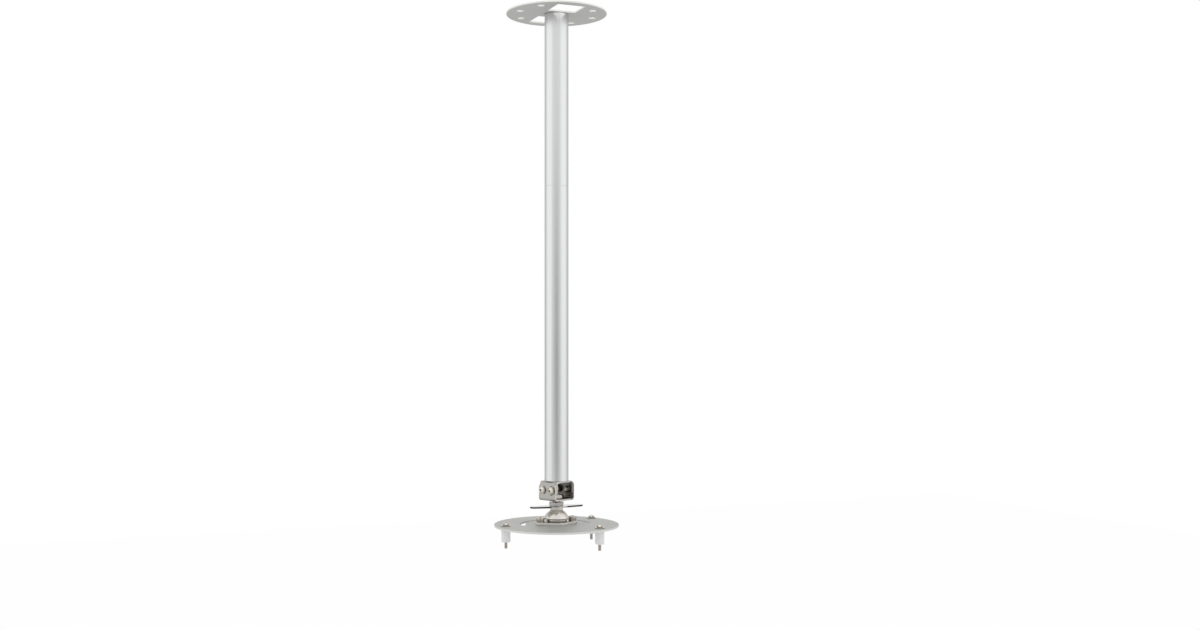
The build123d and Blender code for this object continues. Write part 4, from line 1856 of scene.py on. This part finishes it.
    def _dome(self) -> None:
        """Bell-shaped socket with a rim and a narrower base ring."""
        under = self.shop.under("ball_socket") - self.middle
        rim_under = under + self.ring_height
        rim_top = rim_under + self.rim_height
        foot = math.sqrt(self.dome**2 - rim_top**2)
        mouth = math.sqrt(self.dome**2 - self.neck_hole**2)
        rings = sphere(self.dome, self.neck_hole + self.neck_edge, foot, self.dome_steps)
        rings += edge_rings(self.rim, rim_top, self.rim_edge, -1)
        rings += edge_rings(self.rim, rim_under, self.rim_edge, 1)[::-1]
        for step in range(self.ring_steps + 1):
            share = step / self.ring_steps
            reach = self.ring - self.ring_swell * (1 - math.sin(math.pi * share))
            rings.append((reach, rim_under - self.ring_height * share))
        inner = math.sqrt(self.cavity**2 - under**2)
        rings += sphere(self.cavity, inner, self.neck_inner, self.dome_steps)
        rings.append((self.neck_hole, mouth - self.neck_edge))
        self._turned(rings, 128, "ball_socket", Body.PROJECTOR, BELL)

    def _flange(self) -> None:
        """Oval flange with its screw holes."""
        hole = self.screw.shank / 2 + LOOSE_FIT
        loops = [Cut(winged(self.flange_middle, self.flange_end, self.screw_place), SHEET_EASE)]
        loops.append(Cut(circle(self.cavity + self.flange_room, count=72)))
        loops += [Cut(circle(hole, (place, 0))) for place in both(self.screw_place)]
        self.shop.settle_sheet(loops, "socket_flange", Body.PROJECTOR, FLANGE)

    def _flange_fasteners(self) -> None:
        """Knurled socket head screws and their nuts."""
        screw, seat = self.screw, self.shop.top("socket_flange")
        length = seat - self.shop.under("flange_screws")
        grip = seat - self.shop.under("projector_plate") + self.grip_room
        ends = (screw.thread_ends[0] - length, -grip - screw.thread_ends[1])
        ridge = self.shop.thread(screw.shank / 2, screw.pitch, *ends, KNURLED)
        pattern = screw.shell(length, grip).take(ridge)
        places = [Place((x, 0, seat), turn=self.screw_spin * x) for x in both(self.screw_place)]
        self.shop.settle_row(pattern, places, "flange_screws", Body.PROJECTOR, KNURLED)
        nut = HexNut(self.flange_nut, self.nut_height, screw.shank + NUT_FIT).shell()
        places = [Place((x, 0, self.shop.under("flange_nuts"))) for x in both(self.screw_place)]
        self.shop.settle_row(nut, places, "flange_nuts", Body.PROJECTOR, SCREWS)


@dataclass
class ProjectorPlate:
    """The slotted round plate with its three screws, washers and spacers.

    Fields:
        slot_starts: Angle in degrees at which each slot starts.
        thread_ends: Bare lengths of the thread at its tip and at its end.
        screw_spin: Degrees that a screw is turned for each millimetre of its place.
        spacer_hold: Height of the rings that keep the spacers' wall straight, from each end.
    """

    shop: Workshop
    diameter: float = 155.0
    edge: float = 0.5
    middle_hole: float = 11.6
    slot_radius: float = 42.0
    slot_width: float = 7.0
    slot_span: float = 76.0
    slot_starts: tuple[float, ...] = (-2.0, 96.0)
    slot_steps: int = 40
    flange_hole: float = 3.25
    flange_place: float = 21.5
    screw: float = 4.0
    screw_pitch: float = 0.7
    screw_spin: float = 31.0
    thread: float = 8.0
    thread_ends: Point = (0.5, 0.4)
    washer: float = 6.0
    spacer: float = 11.2
    spacer_edge: Point = (0.5, 0.15)
    spacer_hold: float = 0.9

    def build(self) -> None:
        """Builds the plate and what hangs from it."""
        self.points = [self._centre(f"spacer_{number}") for number in (1, 2, 3)]
        self._plate()
        self._screws()
        self._spacers()

    def _centre(self, node: str) -> Point:
        """Middle of a node, seen from above."""
        low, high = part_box(node)
        return ((low.x + high.x) / 2 / MM, (low.y + high.y) / 2 / MM)

    def _plate(self) -> None:
        """Plate with two arc slots."""
        loops = [Cut(circle(self.diameter / 2, count=200), self.edge)]
        loops.append(Cut(circle(self.middle_hole, count=72)))
        loops += [Cut(circle(self.flange_hole, (place, 0))) for place in both(self.flange_place)]
        loops += [Cut(circle(self.screw / 2 + LOOSE_FIT, point)) for point in self.points]
        for start in self.slot_starts:
            ends = (start, start + self.slot_span)
            slot = arc_slot((0, 0), self.slot_radius, self.slot_width, *ends, self.slot_steps)
            loops.append(Cut(slot, SHEET_EASE))
        self.shop.settle_sheet(loops, "projector_plate", Body.PROJECTOR, PLATE_COAT)

    def _screws(self) -> None:
        """Pan head screws with a cross recess, and their washers."""
        seat, base = self.shop.top("projector_washers"), self.shop.under("projector_washers")
        length = seat - self.shop.under("projector_screws")
        ends = (self.thread_ends[0] - length, self.thread - self.thread_ends[1] - length)
        ridge = self.shop.thread(self.screw / 2, self.screw_pitch, *ends, CROWNED)
        places = [Place((*point, seat), turn=self.screw_spin * point[0]) for point in self.points]
        pattern = PAN_SCREW.shell(length).take(ridge)
        self.shop.settle_row(pattern, places, "projector_screws", Body.PROJECTOR, CROWNED)
        ring = washer(self.washer, self.screw / 2 + LOOSE_FIT, seat - base)
        places = [Place((*point, base)) for point in self.points]
        self.shop.settle_row(ring, places, "projector_washers", Body.PROJECTOR, CROWNED)

    def _spacers(self) -> None:
        """Nylon spacers, each a piece of its own."""
        bore, wall = PAN_SCREW.shank / 2 + CLOSE_FIT, self.spacer / 2
        for number, point in enumerate(self.points, start=1):
            node = f"spacer_{number}"
            top, under = self.shop.top(node), self.shop.under(node)
            rings = [(bore, under), *edge_rings(wall, under, self.spacer_edge, 1)]
            rings += [(wall, under + self.spacer_hold), (wall, top - self.spacer_hold)]
            rings += [*edge_rings(wall, top, self.spacer_edge, -1)[::-1], (bore, top)]
            shell = Shell().turn(rings, 72, closed=True).place(Matrix.Translation((*point, 0)))
            self.shop.settle(shell, node, Body.PROJECTOR, NYLON)


@dataclass
class SoftBox:
    """A square lamp that faces a point of the mount."""

    name: str
    at: Triple
    aim: Triple
    size: float
    power: float

    def build(self) -> None:
        """Adds the lamp."""
        light = bpy.data.lights.new(self.name, "AREA")
        light.shape, light.size, light.energy = "SQUARE", self.size, self.power
        lamp = add_object(self.name, light)
        lamp.location = self.at
        lamp.rotation_mode = "QUATERNION"
        lamp.rotation_quaternion = (Vector(self.aim) - Vector(self.at)).to_track_quat("-Z", "Y")


@dataclass
class Studio:
    """Pale floor, soft light and the camera.

    Fields:
        floor_seen: How far the camera sees the floor as plain white.
        ambient: Grey of the room that lights dull surfaces.
        front_shade: How far the room in front is darkened where it is mirrored.
        sides: Grey of the mirrored room by how far it lies towards the front, from 0 to 1.
        front: Share of the front's shade by the same measure.
        low: Share of the front's shade by height, from straight down at 0 to straight up at 1.
        fall: Grey of the mirrored room by height.
    """

    floor_height: float = -1.05
    floor_width: float = 6.0
    floor_tone: float = 0.95
    floor_seen: float = 0.96
    azimuth: float = -22.3
    distance: float = 1.656
    camera_height: float = -0.407
    sensor_width: float = 36.0
    focal_pixels: float = 1330.0
    picture_width: float = 1200.0
    axis_left: float = 43.5
    horizon_low: float = 25.0
    ambient: float = 0.78
    front_shade: float = 0.66
    sides: Stops = ((0.0, 0.9), (0.03, 0.85), (0.1, 0.55), (0.2, 0.6), (0.35, 0.88))
    front: Stops = ((0.75, 0.0), (0.89, 0.25), (0.94, 0.45), (0.975, 0.68), (0.993, 0.9), (1.0, 1.0))
    low: Stops = ((0.25, 0.6), (0.40, 1.0), (0.51, 1.0), (0.545, 0.45), (0.572, 0.0))
    fall: Stops = ((0.44, 0.87), (0.5, 0.945), (0.56, 1.0))
    lamps: list[SoftBox] = field(
        default_factory=lambda: [
            SoftBox("soft_left", (-2.2, 0.25, 0.1), (0, 0, -0.35), 2.6, 3.6),
            SoftBox("soft_right", (1.65, -1.5, 0.0), (0, 0, -0.35), 2.6, 3.8),
            SoftBox("soft_top", (0.2, 0.3, 1.7), (0, 0, -0.4), 1.6, 6.0),
        ]
    )

    def build(self) -> None:
        """Builds the floor, the light and the camera."""
        bpy.context.scene.view_settings.view_transform = "Standard"
        turn = math.radians(self.azimuth)
        self.ahead = (math.sin(turn), -math.cos(turn), 0.0)
        self._floor()
        self._world()
        for lamp in self.lamps:
            lamp.build()
        self._camera()

    def _floor(self) -> None:
        """A wide pale floor that keeps the mount's shadow."""
        mesh = bpy.data.meshes.new("studio_floor")
        corners = rectangle(self.floor_width, self.floor_width)
        mesh.from_pydata([(*corner, self.floor_height) for corner in corners], [], [(0, 1, 2, 3)])
        material = bpy.data.materials.new("pale_floor")
        bench = ShaderBench(material)
        tone = self.floor_tone
        matt = bench.signal("ShaderNodeBsdfDiffuse", inputs={"Color": (tone, tone, tone, 1)})
        glow = bench.signal("ShaderNodeEmission", inputs={"Color": (1, 1, 1, 1), "Strength": 1.0})
        seen = bench.ray("Camera") * self.floor_seen
        mixed = bench.signal("ShaderNodeMixShader", inputs={0: seen, 1: matt, 2: glow})
        bench.node("ShaderNodeOutputMaterial", inputs={"Surface": mixed})
        mesh.materials.append(material)
        add_object("studio_floor", mesh)

    def _world(self) -> None:
        """White backdrop, with a darker room where the front and the far sides are reflected."""
        world = bpy.data.worlds.new("studio_world")
        bpy.context.scene.world = world
        bench = ShaderBench(world)
        way = bench.signal("ShaderNodeTexCoord", output="Generated")
        level = bench.vector("NORMALIZE", bench.vector("MULTIPLY", way, (1, 1, 0)))
        turned = bench.dot(level, self.ahead) * 0.5 + 0.5
        rise = bench.dot(way, UP) * 0.5 + 0.5
        shade = bench.ramp(turned, self.front) * bench.ramp(rise, self.low) * self.front_shade
        room = bench.ramp(turned, self.sides) * bench.ramp(rise, self.fall) * (1 - shade)
        plain = bench.mix(bench.ray("Glossy"), [self.ambient] * 3, room)
        total = bench.mix(bench.ray("Camera") + bench.ray("Transmission"), plain, (1, 1, 1))
        ground = bench.signal("ShaderNodeBackground", inputs={"Color": total, "Strength": 1.0})
        bench.node("ShaderNodeOutputWorld", inputs={"Surface": ground})

    def _camera(self) -> None:
        """Level camera at the photograph's viewing angle."""
        lens = bpy.data.cameras.new("camera")
        lens.sensor_fit, lens.sensor_width = "HORIZONTAL", self.sensor_width
        lens.lens = self.sensor_width * self.focal_pixels / self.picture_width
        lens.shift_x = self.axis_left / self.picture_width
        lens.shift_y = self.horizon_low / self.picture_width
        camera = add_object("camera", lens)
        camera.location = Vector(self.ahead) * self.distance + Vector((0, 0, self.camera_height))
        camera.rotation_euler = (math.pi / 2, 0, math.radians(self.azimuth))
        bpy.context.scene.camera = camera


def main() -> None:
    """Builds the sub-assemblies in order, then the studio."""
    logging.basicConfig(level=logging.INFO, format="%(name)s %(message)s")
    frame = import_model()
    shop = Workshop(frame["nodes"])
    for assembly in (CeilingFixing, Pole, TiltBracket, BallJoint, ProjectorPlate):
        assembly(shop).build()
    Studio().build()


if __name__ == "__main__":
    main()
